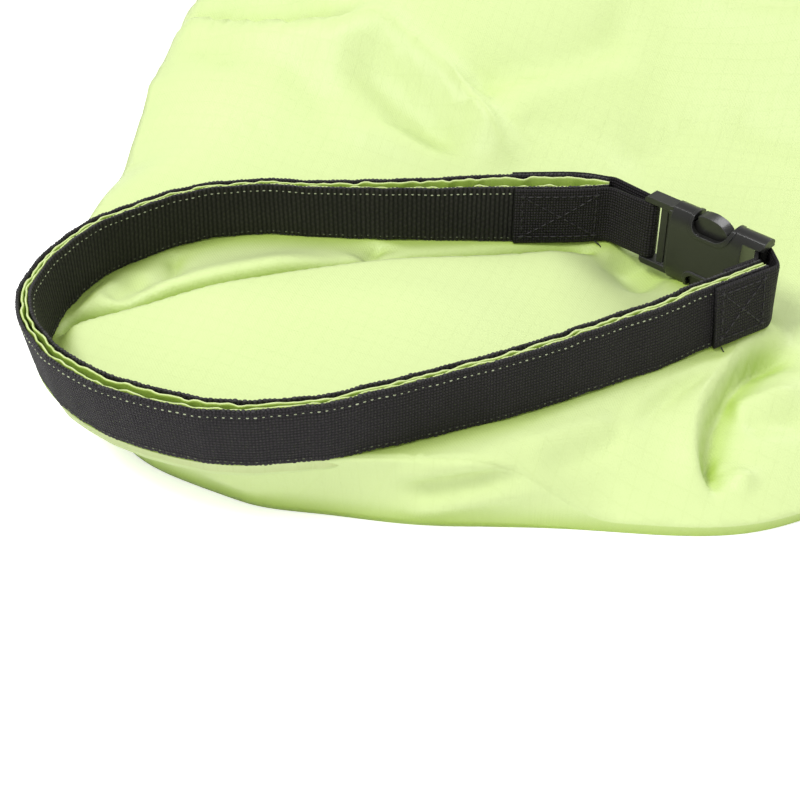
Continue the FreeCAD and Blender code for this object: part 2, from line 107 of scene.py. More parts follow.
class Curve:
    """Smooth cubic curve through points, read by distance along them."""

    def __init__(self, points: Sequence[Sequence[float]], closed: bool = False,
                 runs: np.ndarray | None = None) -> None:
        """Fit the curve.

        Args:
            points: the points it passes through.
            closed: whether it ends where it starts.
            runs: distances of the points along it, where they are known.
        """
        p = np.asarray(points, float)
        if closed:
            p = np.vstack((p, p[:1]))
        if runs is None:
            steps = np.linalg.norm(np.diff(p[:, :2], axis=0), axis=1)
            runs = np.concatenate(((0.0,), np.cumsum(steps)))
        self.points, self.runs, self.length = p, runs, float(runs[-1])
        self.bends = self._bends(closed)

    def _bends(self, closed: bool) -> np.ndarray:
        """Second derivatives at the points.

        Args:
            closed: whether the curve ends where it starts.

        Returns:
            One row for each point.
        """
        n = len(self.runs)
        h = np.diff(self.runs)
        slope = np.diff(self.points, axis=0) / h[:, None]
        a, b = np.zeros((n, n)), np.zeros_like(self.points)
        for i in range(1, n - 1):
            a[i, i - 1:i + 2] = h[i - 1], 2 * (h[i - 1] + h[i]), h[i]
            b[i] = 6 * (slope[i] - slope[i - 1])
        if closed:
            a[0, 0], a[0, -1] = 1, -1
            a[-1, 0:2] = 2 * h[0], h[0]
            a[-1, -2:] += h[-1], 2 * h[-1]
            b[-1] = 6 * (slope[0] - slope[-1])
        else:
            a[0, 0] = a[-1, -1] = 1
        return np.linalg.solve(a, b)

    def at(self, s: np.ndarray) -> np.ndarray:
        """Points at distances s.

        Args:
            s: the distances.

        Returns:
            One row for each distance.
        """
        s = np.clip(np.asarray(s, float), 0, self.length)
        i = np.clip(np.searchsorted(self.runs, s, side="right") - 1, 0, len(self.runs) - 2)
        h = (self.runs[i + 1] - self.runs[i])[..., None]
        t = ((s - self.runs[i])[..., None]) / h
        p, m = self.points, self.bends
        cubic = ((1 - t) ** 3 - (1 - t)) * m[i] + (t ** 3 - t) * m[i + 1]
        return p[i] * (1 - t) + p[i + 1] * t + cubic * h * h / 6

    def direction(self, s: np.ndarray) -> np.ndarray:
        """Unit tangents in plan at distances s."""
        d = (self.at(np.asarray(s) + 0.05) - self.at(np.asarray(s) - 0.05))[..., :2]
        return d / np.linalg.norm(d, axis=-1, keepdims=True)


def nearest_on(path: np.ndarray, xy: np.ndarray) -> tuple[np.ndarray, np.ndarray]:
    """Signed distance of plan points from a fine polyline, and the share of the way along it.

    Args:
        path: the polyline's points.
        xy: the plan points.

    Returns:
        The distance, positive on the polyline's left, and the share from 0 to 1.
    """
    best = np.full(len(xy), 1e9)
    side, share = np.zeros(len(xy)), np.zeros(len(xy))
    steps = np.linalg.norm(np.diff(path[:, :2], axis=0), axis=1)
    runs = np.concatenate(((0.0,), np.cumsum(steps))) / steps.sum()
    for k in range(len(path) - 1):
        a, b = path[k, :2], path[k + 1, :2]
        ab = b - a
        t = np.clip(((xy - a) @ ab) / max(ab @ ab, 1e-9), 0, 1)
        off = xy - (a + t[:, None] * ab)
        d = np.hypot(off[:, 0], off[:, 1])
        nearer = d < best
        best = np.where(nearer, d, best)
        cross = ab[0] * off[:, 1] - ab[1] * off[:, 0]
        side = np.where(nearer, np.sign(cross), side)
        share = np.where(nearer, runs[k] + t * (runs[k + 1] - runs[k]), share)
    return best * np.where(side == 0, 1, side), share


def inside(polygon: np.ndarray, xy: np.ndarray) -> np.ndarray:
    """Whether plan points lie inside a closed polygon.

    Args:
        polygon: the polygon's corners.
        xy: the plan points.

    Returns:
        True for each point inside.
    """
    hit = np.zeros(len(xy), bool)
    for a, b in zip(polygon, np.roll(polygon, -1, axis=0)):
        crosses = (a[1] > xy[:, 1]) != (b[1] > xy[:, 1])
        with np.errstate(divide="ignore", invalid="ignore"):
            x = (b[0] - a[0]) * (xy[:, 1] - a[1]) / (b[1] - a[1]) + a[0]
        hit ^= crosses & (xy[:, 0] < x)
    return hit


def linked(name: str, data: bpy.types.ID) -> bpy.types.Object:
    """A new object with this data, in the scene.

    Args:
        name: its name.
        data: its data.

    Returns:
        The new object.
    """
    made = bpy.data.objects.new(name, data)
    bpy.context.scene.collection.objects.link(made)
    return made


def shade_smooth(mesh: bpy.types.Mesh) -> None:
    """Shade every face smooth."""
    for polygon in mesh.polygons:
        polygon.use_smooth = True


def mesh_object(name: str, points: np.ndarray, faces: Iterable[Sequence[int]],
                material: bpy.types.Material) -> bpy.types.Object:
    """A smooth-shaded mesh object from mouth-frame points.

    Args:
        name: its name.
        points: the points, in millimetres.
        faces: rows of point numbers.
        material: its finish.

    Returns:
        The new object, at the origin.
    """
    mesh = bpy.data.meshes.new(name)
    mesh.from_pydata([tuple(p) for p in to_part(points)], [], [tuple(f) for f in faces])
    mesh.validate()
    shade_smooth(mesh)
    mesh.materials.append(material)
    return linked(name, mesh)


def woven_section(rise: np.ndarray, depth: np.ndarray, width: float, half: float,
                  ) -> tuple[np.ndarray, np.ndarray]:
    """The cross-section of webbing on edge, with both edges rounded.

    Args:
        rise: heights of the points on one face.
        depth: how far that face stands from the middle at each.
        width: the webbing's width.
        half: half its thickness.

    Returns:
        Heights and depths of the points round the section.
    """
    lip = half * 0.4
    heights = np.concatenate((rise, (width, width), rise[::-1], (0.0, 0.0)))
    depths = np.concatenate((depth, (lip, -lip), -depth[::-1], (-lip, lip)))
    return heights, depths


def strip_object(name: str, lines: Sequence[np.ndarray], runs: np.ndarray, heights: np.ndarray,
                 material: bpy.types.Material) -> bpy.types.Object:
    """A closed strip of woven cloth lofted along lines, with both ends capped.

    Args:
        name: its name.
        lines: one line along the strip for each point of its cross-section.
        runs: distances along the strip, for the weave.
        heights: heights of the cross-section's points, for the weave.
        material: its finish.

    Returns:
        The new object.
    """
    rings = np.stack(lines, axis=1)
    along = np.repeat(runs[:, None], len(heights) + 1, axis=1)
    up = np.tile(np.append(heights, heights[0]), (len(runs), 1))
    uv = np.stack((along, up), axis=-1) * MM
    n, m = rings.shape[:2]
    faces = []
    for i in range(n - 1):
        for j in range(m):
            k = (j + 1) % m
            faces.append((i * m + j, (i + 1) * m + j, (i + 1) * m + k, i * m + k))
    faces.append(tuple(range(m)))
    faces.append(tuple((n - 1) * m + j for j in reversed(range(m))))
    made = mesh_object(name, rings.reshape(-1, 3), faces, material)
    layer = made.data.uv_layers.new(name="weave")
    values = np.zeros((len(made.data.loops), 2))
    loop = 0
    for i in range(n - 1):
        for j in range(m):
            for r, c in ((i, j), (i + 1, j), (i + 1, j + 1), (i, j + 1)):
                values[loop] = uv[r, c]
                loop += 1
    for r, order in ((0, range(m)), (n - 1, reversed(range(m)))):
        for j in order:
            values[loop] = uv[r, j]
            loop += 1
    layer.data.foreach_set("uv", values.ravel())
    face_out(made)
    return made


def face_out(made: bpy.types.Object) -> None:
    """Turn a closed mesh's faces outwards.

    Args:
        made: the object with the mesh.
    """
    bm = bmesh.new()
    bm.from_mesh(made.data)
    bmesh.ops.recalc_face_normals(bm, faces=bm.faces)
    bm.to_mesh(made.data)
    bm.free()


# ------------------------------------------------------------------ the mouth line
@dataclass
class MouthLine:
    """The slit's middle line with the band's lean and the slit's width along it."""

    stations: Sequence[Sequence[float]] = (
        (109.7, 11.2, -1.2, 0.5), (94.0, 1.4, -1.2, 0.6), (78.7, -8.6, -1.2, 0.6),
        (42.4, -29.0, -0.6, 0.6), (8.6, -44.6, 0.0, 0.6), (-22.7, -55.2, 0.8, 0.8),
        (-44.0, -57.4, 1.2, 1.6), (-65.0, -52.6, 1.5, 2.4), (-86.5, -39.6, 1.7, 2.0),
        (-101.5, -23.0, 1.7, 1.2), (-108.0, -4.0, 1.4, 0.6), (-104.5, 19.0, 0.4, 0.5),
        (-92.0, 40.5, -0.8, 0.5), (-72.0, 56.2, -1.3, 0.5), (-48.0, 62.6, -1.5, 0.6),
        (-16.0, 61.2, -1.2, 2.0), (10.0, 61.5, -0.8, 3.8), (34.0, 62.2, -0.1, 5.2),
        (50.0, 62.5, -0.1, 5.6), (61.0, 62.4, -0.1, 4.4), (68.0, 61.6, -0.1, 0.8),
    )
    bottom: float = 26.0
    width: float = 20.0

    def __post_init__(self) -> None:
        """Fit the line and its forms."""
        rows = np.asarray(self.stations, float)
        self.line = Curve(rows[:, :2])
        self.forms = Curve(rows[:, 2:], runs=self.line.runs)
        self.length = self.line.length

    def gap(self, s: np.ndarray) -> np.ndarray:
        """Width of the slit."""
        return np.maximum(self.forms.at(s)[..., 1], 0.4)

    def wander(self, s: np.ndarray) -> tuple[np.ndarray, np.ndarray]:
        """How far the band strays sideways and upwards, nothing at its ends."""
        free = smoothstep((s - 8) / 25) * smoothstep((self.length - 36 - s) / 25)
        return 0.35 * waves(s, 3, 70.0) * free, 0.28 * waves(s, 4, 55.0) * free

    def at(self, s: np.ndarray, offset: np.ndarray, z: np.ndarray) -> np.ndarray:
        """Points offset outwards from the slit's middle, at height z.

        Args:
            s: distances along the line.
            offset: distance outwards from the middle.
            z: height.

        Returns:
            Points in the mouth frame.
        """
        s, offset, z = np.broadcast_arrays(np.asarray(s, float), offset, z)
        t = self.line.direction(s)
        lean = self.forms.at(s)[..., 0] * (z - self.bottom - self.width / 2) / (self.width / 2)
        sway, lift = self.wander(s)
        reach = (offset + lean + sway)[..., None]
        xy = self.line.at(s) + np.stack((-t[..., 1], t[..., 0]), axis=-1) * reach
        return np.concatenate((xy, (z + lift)[..., None]), axis=-1)

    def beside(self, s: np.ndarray, side: int, out: np.ndarray, rise: np.ndarray) -> np.ndarray:
        """Points beside the slit.

        Args:
            s: distances along the line.
            side: 1 outside the loop, -1 inside it.
            out: distance from the slit's side.
            rise: height above the webbing's lower edge.

        Returns:
            Points in the mouth frame.
        """
        return self.at(s, side * (self.gap(s) / 2 + out), self.bottom + rise)


# ------------------------------------------------------------------ folds of the fabric
class Form(Enum):
    """Cross-section of a fold."""

    SOFT = "soft"
    SHARP = "sharp"
    STEP = "step"


@dataclass(frozen=True)
class Fold:
    """One fold: how the fabric's height changes beside a path drawn in plan."""

    path: Sequence[tuple[float, float]]
    lift: float
    width: float
    form: Form = Form.SOFT
    drop: float = 0.0
    far_width: float = 0.0
    edge: float = 1.5
    fade: tuple[float, float] = (0.25, 0.25)

    def height(self, xy: np.ndarray) -> np.ndarray:
        """Change of height at plan points.

        Args:
            xy: the points.

        Returns:
            Millimetres of height to add.
        """
        curve = Curve(self.path)
        fine = curve.at(np.linspace(0, curve.length, max(12, int(curve.length / 4))))
        reach = max(self.width, self.far_width) * 4
        low, high = fine.min(0) - reach, fine.max(0) + reach
        near = np.all((xy > low) & (xy < high), axis=1)
        out = np.zeros(len(xy))
        if not near.any():
            return out
        d, share = nearest_on(fine, xy[near])
        start, end = (max(f, 1e-6) for f in self.fade)
        ends = smoothstep(share / start) * smoothstep((1 - share) / end)
        beyond = np.exp(-(d / reach) ** 4)
        if self.form is Form.SOFT:
            shape = self.lift * np.exp(-(d / self.width) ** 2)
        elif self.form is Form.SHARP:
            shape = self.lift * np.exp(-np.sqrt((d / self.width) ** 2 + 0.02) + 0.14)
        else:
            right = 1 / (1 + np.exp(np.clip(d / (self.edge * 0.35), -40, 40)))
            left_side = self.lift * np.exp(-(d / self.width) ** 2)
            right_side = -self.drop * np.exp(-(d / self.far_width) ** 2)
            shape = left_side * (1 - right) + right_side * right
        out[near] = shape * ends * beyond
        return out


# ------------------------------------------------------------------ finishes
class Graph:
    """Short-hand for laying shader or geometry nodes."""

    def __init__(self, tree: bpy.types.NodeTree) -> None:
        """Work on this tree."""
        self.tree = tree

    def add(self, kind: str, inputs: dict[str, object] | None = None,
            **settings: object) -> bpy.types.Node:
        """Add a node.

        Args:
            kind: its type.
            inputs: values or sockets for its inputs, by name or number.
            settings: its own properties.

        Returns:
            The node.
        """
        node = self.tree.nodes.new(kind)
        for key, value in settings.items():
            setattr(node, key, value)
        for key, value in (inputs or {}).items():
            socket = node.inputs[int(key)] if str(key).isdigit() else node.inputs[key]
            if isinstance(value, bpy.types.NodeSocket):
                self.tree.links.new(value, socket)
            else:
                socket.default_value = value
        return node

    def math(self, operation: str, *values: object, clamp: bool = False) -> bpy.types.NodeSocket:
        """A Math node's result."""
        inputs = {str(i): value for i, value in enumerate(values)}
        return self.add("ShaderNodeMath", inputs, operation=operation, use_clamp=clamp).outputs[0]

    def mix(self, share: object, a: object, b: object) -> bpy.types.NodeSocket:
        """A colour between a and b.

        Args:
            share: how much of b.
            a: the first colour.
            b: the second colour.

        Returns:
            The mixed colour.
        """
        node = self.add("ShaderNodeMix", data_type="RGBA")
        for index, value in ((0, share), (6, a), (7, b)):
            if isinstance(value, bpy.types.NodeSocket):
                self.tree.links.new(value, node.inputs[index])
            else:
                node.inputs[index].default_value = value
        return node.outputs[2]

    def tone(self, speckle: bpy.types.NodeTree, place: bpy.types.NodeSocket, patch: float,
             grain: float = 900.0) -> bpy.types.Node:
        """The speckle group, read at a place with these scales."""
        return self.add("ShaderNodeGroup", {"Vector": place, "Patch Scale": patch,
                                            "Grain Scale": grain}, node_tree=speckle)

    def bump(self, surface: bpy.types.Node, height: bpy.types.NodeSocket, distance: float,
             strength: float = 0.5, **inputs: object) -> None:
        """Give a surface fine relief.

        Args:
            surface: the surface.
            height: height of the relief.
            distance: its full depth in metres.
            strength: how much of it is used.
            inputs: other inputs of the Bump node.
        """
        node = self.add("ShaderNodeBump", {"Height": height, "Distance": distance,
                                           "Strength": strength, **inputs})
        self.tree.links.new(node.outputs["Normal"], surface.inputs["Normal"])


def group(name: str, inputs: dict[str, tuple[str, object]], outputs: dict[str, str],
          ) -> tuple[bpy.types.NodeTree, Graph, bpy.types.Node, bpy.types.Node]:
    """A new shader node group with named sockets.

    Args:
        name: its name.
        inputs: socket type and default, by name.
        outputs: socket type, by name.

    Returns:
        The group, a graph on it, and its input and output nodes.
    """
    tree = bpy.data.node_groups.new(name, "ShaderNodeTree")
    for label, (kind, value) in inputs.items():
        socket = tree.interface.new_socket(label, in_out="INPUT", socket_type=kind)
        if value is not None:
            socket.default_value = value
    for label, kind in outputs.items():
        tree.interface.new_socket(label, in_out="OUTPUT", socket_type=kind)
    graph = Graph(tree)
    return tree, graph, graph.add("NodeGroupInput"), graph.add("NodeGroupOutput")


def weave_group() -> bpy.types.NodeTree:
    """Plain weave or ribs read from UV metres: a height and a shade.

    Returns:
        The node group.
    """
    tree, g, given, out = group(
        "weave",
        {"UV": ("NodeSocketVector", None), "Warp": ("NodeSocketFloat", 0.001),
         "Weft": ("NodeSocketFloat", 0.001), "Ribbed": ("NodeSocketFloat", 0.0),
         "Irregular": ("NodeSocketFloat", 0.3)},
        {"Height": "NodeSocketFloat", "Shade": "NodeSocketFloat"})
    wobble = g.add("ShaderNodeTexNoise", {"Vector": given.outputs["UV"], "Scale": 420.0,
                                          "Detail": 1.0}).outputs["Fac"]
    wobble = g.math("MULTIPLY", g.math("SUBTRACT", wobble, 0.5), given.outputs["Irregular"])
    parts = g.add("ShaderNodeSeparateXYZ", {"Vector": given.outputs["UV"]})
    u = g.math("ADD", g.math("DIVIDE", parts.outputs["X"], given.outputs["Warp"]), wobble)
    v = g.math("ADD", g.math("DIVIDE", parts.outputs["Y"], given.outputs["Weft"]), wobble)
    across = g.math("SINE", g.math("MULTIPLY", u, math.pi))
    along = g.math("SINE", g.math("MULTIPLY", v, math.pi))
    over = g.math("ADD", g.math("MULTIPLY", g.math("MULTIPLY", across, along), 0.5), 0.5)
    column = g.math("POWER", g.math("ABSOLUTE", across), 0.6)
    row = g.math("POWER", g.math("ABSOLUTE", along), 0.6)
    plain = g.math("ADD", g.math("MULTIPLY", g.math("MULTIPLY", column, row), 0.85),
                   g.math("MULTIPLY", over, 0.15))
    rib = g.math("POWER", g.math("ABSOLUTE", across), 0.7)
    small = g.math("ADD", g.math("MULTIPLY", rib, 0.8), g.math("MULTIPLY", over, 0.2))
    ribbed = given.outputs["Ribbed"]
    height = g.math("ADD", g.math("MULTIPLY", plain, g.math("SUBTRACT", 1.0, ribbed)),
                    g.math("MULTIPLY", small, ribbed))
    g.tree.links.new(height, out.inputs["Height"])
    g.tree.links.new(g.math("POWER", height, 2.6), out.inputs["Shade"])
    return tree


def speckle_group() -> bpy.types.NodeTree:
    """Uneven tone over a surface: broad patches and fine grain.

    Returns:
        The node group.
    """
    tree, g, given, out = group(
        "speckle",
        {"Vector": ("NodeSocketVector", None), "Patch Scale": ("NodeSocketFloat", 20.0),
         "Grain Scale": ("NodeSocketFloat", 900.0)},
        {"Patches": "NodeSocketFloat", "Grain": "NodeSocketFloat"})
    for label, scale, detail in (("Patches", "Patch Scale", 3.0), ("Grain", "Grain Scale", 2.0)):
        noise = g.add("ShaderNodeTexNoise", {"Vector": given.outputs["Vector"],
                                             "Scale": given.outputs[scale], "Detail": detail})
        g.tree.links.new(noise.outputs["Fac"], out.inputs[label])
    return tree


@dataclass(frozen=True)
class Finish:
    """A Principled surface with its own colours and roughness."""

    name: str
    colour: tuple[float, float, float]
    shade: tuple[float, float, float]
    roughness: float = 0.6
    sheen: float = 0.0
    specular: float = 0.5

    def start(self) -> tuple[bpy.types.Material, Graph, bpy.types.Node]:
        """A new material with this finish's constant values.

        Returns:
            The material, a graph on its nodes, and its surface.
        """
        made = bpy.data.materials.new(self.name)
        made.use_nodes = True
        surface = made.node_tree.nodes["Principled BSDF"]
        surface.inputs["Roughness"].default_value = self.roughness
        surface.inputs["Sheen Weight"].default_value = self.sheen
        surface.inputs["Specular IOR Level"].default_value = self.specular
        return made, Graph(made.node_tree), surface


@dataclass(frozen=True)
class ClothFinish(Finish):
    """Coated ripstop nylon: fine plain weave with a heavier thread every few millimetres, and painted
    shade in its creases.
    """

    # Painted shade in creases: its colour, the reach of the occlusion, where it starts and how fast it
    # deepens.
    deep: tuple[float, float, float] = (0.36, 0.50, 0.085)
    hollow_reach: float = 0.012
    hollow_from: float = 0.90
    hollow_gain: float = 2.3
    grid: float = 0.005
    grid_half: float = 0.00022
    thread: float = 0.00055
    bump: float = 0.00012

    def build(self, speckle: bpy.types.NodeTree) -> bpy.types.Material:
        """Make the material.

        Args:
            speckle: the group for uneven tone.

        Returns:
            The material.
        """
        made, g, surface = self.start()
        place = g.add("ShaderNodeTexCoord").outputs["Object"]
        turned = g.add("ShaderNodeMapping", {"Vector": place, "Rotation": (0.0, 0.0, 0.38)})
        tone = g.tone(speckle, place, 14.0, 1500.0)
        axes = g.add("ShaderNodeSeparateXYZ", {"Vector": turned.outputs[0]})
        lines = []
        for axis in ("X", "Y"):
            wave = g.math("PINGPONG", axes.outputs[axis], self.grid / 2)
            lines.append(g.math("LESS_THAN", wave, self.grid_half))
        grid = g.math("MAXIMUM", *lines)
        fine = g.math("MULTIPLY",
                      g.math("SINE", g.math("MULTIPLY", axes.outputs["X"], math.pi / self.thread)),
                      g.math("SINE", g.math("MULTIPLY", axes.outputs["Y"], math.pi / self.thread)))
        share = g.math("MULTIPLY", tone.outputs["Patches"], 0.55)
        share = g.math("ADD", share, g.math("MULTIPLY", grid, 0.10), clamp=True)
        plain = g.mix(share, (*self.colour, 1.0), (*self.shade, 1.0))
        # Painted shade: ambient occlusion pulls the colour towards a deeper green in creases and
        # recesses.
        crease_occlusion = g.add("ShaderNodeAmbientOcclusion", {"Distance": self.hollow_reach}, samples=8)
        painted_crease_shade = g.math("MULTIPLY", g.math("SUBTRACT", self.hollow_from, crease_occlusion.outputs["AO"]),
                        self.hollow_gain, clamp=True)
        colour = g.mix(painted_crease_shade, plain, (*self.deep, 1.0))
        g.tree.links.new(colour, surface.inputs["Base Color"])
        height = g.math("ADD", g.math("MULTIPLY", fine, 0.3), g.math("MULTIPLY", grid, 0.6))
        height = g.math("ADD", height, tone.outputs["Grain"])
        g.bump(surface, height, self.bump)
        return made


@dataclass(frozen=True)
class WebbingFinish(Finish):
    """Woven nylon webbing, plain on one face and ribbed on the other."""

    warp: float = 0.0009
    weft: float = 0.0010
    ribbed: float = 0.0
    bump: float = 0.0006

    def build(self, weave: bpy.types.NodeTree, speckle: bpy.types.NodeTree) -> bpy.types.Material:
        """Make the material.

        Args:
            weave: the group for the weave.
            speckle: the group for uneven tone.

        Returns:
            The material.
        """
        made, g, surface = self.start()
        uv = g.add("ShaderNodeUVMap", uv_map="weave").outputs["UV"]
        woven = g.add("ShaderNodeGroup", {"UV": uv, "Warp": self.warp, "Weft": self.weft,
                                          "Ribbed": self.ribbed}, node_tree=weave)
        tone = g.tone(speckle, uv, 90.0, 5200.0)
        # Painted shade: the weave's shade darkens the colour between the yarns; random tone patches
        # and grain vary it.
        lit = g.math("MULTIPLY", woven.outputs["Shade"],
                     g.math("ADD", 0.45, g.math("MULTIPLY", tone.outputs["Patches"], 0.75)))
        lit = g.math("ADD", lit, g.math("MULTIPLY", tone.outputs["Grain"], 0.18), clamp=True)
        colour = g.mix(lit, (*self.shade, 1.0), (*self.colour, 1.0))
        g.tree.links.new(colour, surface.inputs["Base Color"])
        height = g.math("ADD", woven.outputs["Height"],
                        g.math("MULTIPLY", tone.outputs["Grain"], 0.35))
        g.bump(surface, height, self.bump, 0.9)
        return made


@dataclass(frozen=True)
class PlasticFinish(Finish):
    """Moulded acetal with a fine spark-eroded grain and a painted highlight along its edges."""

    # Colour of the painted highlight along the edges.
    edge: tuple[float, float, float] = (0.13, 0.13, 0.135)
    edge_radius: float = 0.0005
    grain_depth: float = 0.00006

    def build(self, speckle: bpy.types.NodeTree) -> bpy.types.Material:
        """Make the material.

        Args:
            speckle: the group for uneven tone.

        Returns:
            The material.
        """
        made, g, surface = self.start()
        place = g.add("ShaderNodeTexCoord").outputs["Object"]
        tone = g.tone(speckle, place, 120.0, 2600.0)
        bevel = g.add("ShaderNodeBevel", {"Radius": self.edge_radius}, samples=4)
        flat = g.add("ShaderNodeNewGeometry")
        bend = g.add("ShaderNodeVectorMath", {"0": bevel.outputs["Normal"],
                                              "1": flat.outputs["Normal"]}, operation="DOT_PRODUCT")
        # Painted highlight: the colour goes paler, in patches, where the bevelled normal turns away
        # from the flat one.
        painted_edge_highlight = g.math("MULTIPLY", g.math("SUBTRACT", 1.0, bend.outputs["Value"]), 3.0, clamp=True)
        painted_edge_highlight = g.math("MULTIPLY", painted_edge_highlight, tone.outputs["Patches"])
        base = g.mix(tone.outputs["Patches"], (*self.shade, 1.0), (*self.colour, 1.0))
        g.tree.links.new(g.mix(painted_edge_highlight, base, (*self.edge, 1.0)), surface.inputs["Base Color"])
        rough = g.math("ADD", self.roughness - 0.08, g.math("MULTIPLY", tone.outputs["Patches"], 0.18))
        g.tree.links.new(rough, surface.inputs["Roughness"])
        g.bump(surface, tone.outputs["Grain"], self.grain_depth, Normal=bevel.outputs["Normal"])
        return made


@dataclass(frozen=True)
class ThreadFinish(Finish):
    """Sewing thread, with a tone that changes a little from stitch to stitch."""

    def build(self, speckle: bpy.types.NodeTree) -> bpy.types.Material:
        """Make the material.

        Args:
            speckle: the group for uneven tone.

        Returns:
            The material.
        """
        made, g, surface = self.start()
        place = g.add("ShaderNodeTexCoord").outputs["Object"]
        tone = g.tone(speckle, place, 400.0)
        colour = g.mix(tone.outputs["Patches"], (*self.shade, 1.0), (*self.colour, 1.0))
        g.tree.links.new(colour, surface.inputs["Base Color"])
        return made


class Finishes:
    """Every finish of the sack, built once."""

    def __init__(self) -> None:
        """Build the shared groups and the materials."""
        weave, speckle = weave_group(), speckle_group()
        self.ripstop = ClothFinish("ripstop", (0.61, 0.725, 0.335), (0.545, 0.665, 0.265),
                                   roughness=0.50, sheen=0.1, specular=0.35).build(speckle)
        self.seam = ClothFinish("seam_tape", (0.54, 0.65, 0.25), (0.46, 0.58, 0.18),
                                roughness=0.55, specular=0.3).build(speckle)
        self.hem = ClothFinish("hem_cloth", (0.62, 0.70, 0.36), (0.46, 0.56, 0.20),
                               roughness=0.55, specular=0.3, grid=0.004).build(speckle)
        self.webbing = WebbingFinish("webbing_face", (0.033, 0.027, 0.032), (0.0010, 0.0008, 0.0010),
                                     roughness=0.66, specular=0.3).build(weave, speckle)
        self.webbing_back = WebbingFinish(
            "webbing_ribs", (0.030, 0.028, 0.025), (0.003, 0.003, 0.003), roughness=0.66,
            specular=0.25, warp=0.0015, ribbed=1.0).build(weave, speckle)
        self.acetal = PlasticFinish("acetal", (0.018, 0.018, 0.016), (0.010, 0.010, 0.009),
                                    roughness=0.31).build(speckle)
        self.green_thread = ThreadFinish("green_thread", (0.56, 0.61, 0.42), (0.16, 0.19, 0.09),
                                         roughness=0.7).build(speckle)
        self.dark_thread = ThreadFinish("dark_thread", (0.20, 0.23, 0.13), (0.02, 0.022, 0.015),
                                        roughness=0.7).build(speckle)
        self.black_thread = ThreadFinish("black_thread", (0.030, 0.027, 0.030),
                                         (0.006, 0.006, 0.006), roughness=0.6).build(speckle)


# ------------------------------------------------------------------ things that repeat
@dataclass(frozen=True)
class Bead:
    """Size in millimetres of one small repeated piece, and its spacing."""

    pitch: float
    length: float
    width: float
    thick: float
    jitter: float = 0.12


def row_of_beads(name: str, lines: Sequence[np.ndarray], bead: Bead,
                 material: bpy.types.Material, seed: int = SEED) -> bpy.types.Object:
    """Small rounded pieces laid end to end along lines, by Geometry Nodes.

    Args:
        name: the new piece's name.
        lines: polylines in mouth-frame millimetres.
        bead: size and spacing.
        material: finish.
        seed: seed of the small changes in size.

    Returns:
        One plain mesh object.
    """
    points, edges = [], []
    for line in lines:
        first = len(points)
        points.extend(tuple(p) for p in to_part(line))
        edges.extend((first + i, first + i + 1) for i in range(len(line) - 1))
    mesh = bpy.data.meshes.new(name + "_line")
    mesh.from_pydata(points, edges, [])
    holder = linked(name + "_line", mesh)
    tree = bead_tree()
    modifier = holder.modifiers.new("beads", "NODES")
    modifier.node_group = tree
    sockets = {s.name: s.identifier for s in tree.interface.items_tree
               if s.item_type == "SOCKET" and s.in_out == "INPUT"}
    values = {"Pitch": bead.pitch * MM, "Length": bead.length * MM, "Width": bead.width * MM,
              "Thickness": bead.thick * MM, "Jitter": bead.jitter, "Seed": seed,
              "Material": material}
    for label, value in values.items():
        modifier[sockets[label]] = value
    bpy.context.view_layer.update()
    depsgraph = bpy.context.evaluated_depsgraph_get()
    made = linked(name, bpy.data.meshes.new_from_object(
        holder.evaluated_get(depsgraph), depsgraph=depsgraph))
    bpy.data.objects.remove(holder)
    shade_smooth(made.data)
    return made


def bead_tree() -> bpy.types.NodeTree:
    """The Geometry Nodes tree that lays beads along edges; built once.

    Returns:
        The node tree.
    """
    found = bpy.data.node_groups.get("beads_along_lines")
    if found is not None:
        return found
    tree = bpy.data.node_groups.new("beads_along_lines", "GeometryNodeTree")
    tree.interface.new_socket("Geometry", in_out="INPUT", socket_type="NodeSocketGeometry")
    for label, value in (("Pitch", 0.003), ("Length", 0.002), ("Width", 0.0005),
                         ("Thickness", 0.0005), ("Jitter", 0.1)):
        socket = tree.interface.new_socket(label, in_out="INPUT", socket_type="NodeSocketFloat")
        socket.default_value = value
    tree.interface.new_socket("Seed", in_out="INPUT", socket_type="NodeSocketInt")
    tree.interface.new_socket("Material", in_out="INPUT", socket_type="NodeSocketMaterial")
    tree.interface.new_socket("Geometry", in_out="OUTPUT", socket_type="NodeSocketGeometry")
    g = Graph(tree)
    given = g.add("NodeGroupInput")
    line = g.add("GeometryNodeMeshToCurve", {"Mesh": given.outputs["Geometry"]})
    spaced = g.add("GeometryNodeResampleCurve", {"Curve": line.outputs[0],
                                                 "Length": given.outputs["Pitch"]}, mode="LENGTH")
    tangent = g.add("GeometryNodeInputTangent").outputs[0]
    turn = g.add("FunctionNodeAlignRotationToVector", {"Vector": tangent}, axis="X")
    bead = g.add("GeometryNodeMeshUVSphere", {"Segments": 8, "Rings": 6, "Radius": 0.5})
    low = g.math("SUBTRACT", 1.0, given.outputs["Jitter"])
    high = g.math("ADD", 1.0, given.outputs["Jitter"])
    size = g.add("FunctionNodeRandomValue", {"2": low, "3": high, "Seed": given.outputs["Seed"]},
                 data_type="FLOAT")
    scale = g.add("ShaderNodeCombineXYZ", {"X": given.outputs["Length"],
                                           "Y": given.outputs["Width"],
                                           "Z": given.outputs["Thickness"]})
    scaled = g.add("ShaderNodeVectorMath", {"0": scale.outputs[0], "Scale": size.outputs[1]},
                   operation="SCALE")
    placed = g.add("GeometryNodeInstanceOnPoints", {
        "Points": spaced.outputs[0], "Instance": bead.outputs["Mesh"],
        "Rotation": turn.outputs[0], "Scale": scaled.outputs[0]})
    real = g.add("GeometryNodeRealizeInstances", {"Geometry": placed.outputs[0]})
    dressed = g.add("GeometryNodeSetMaterial", {"Geometry": real.outputs[0],
                                                "Material": given.outputs["Material"]})
    g.add("NodeGroupOutput", {"Geometry": dressed.outputs[0]})
    return tree


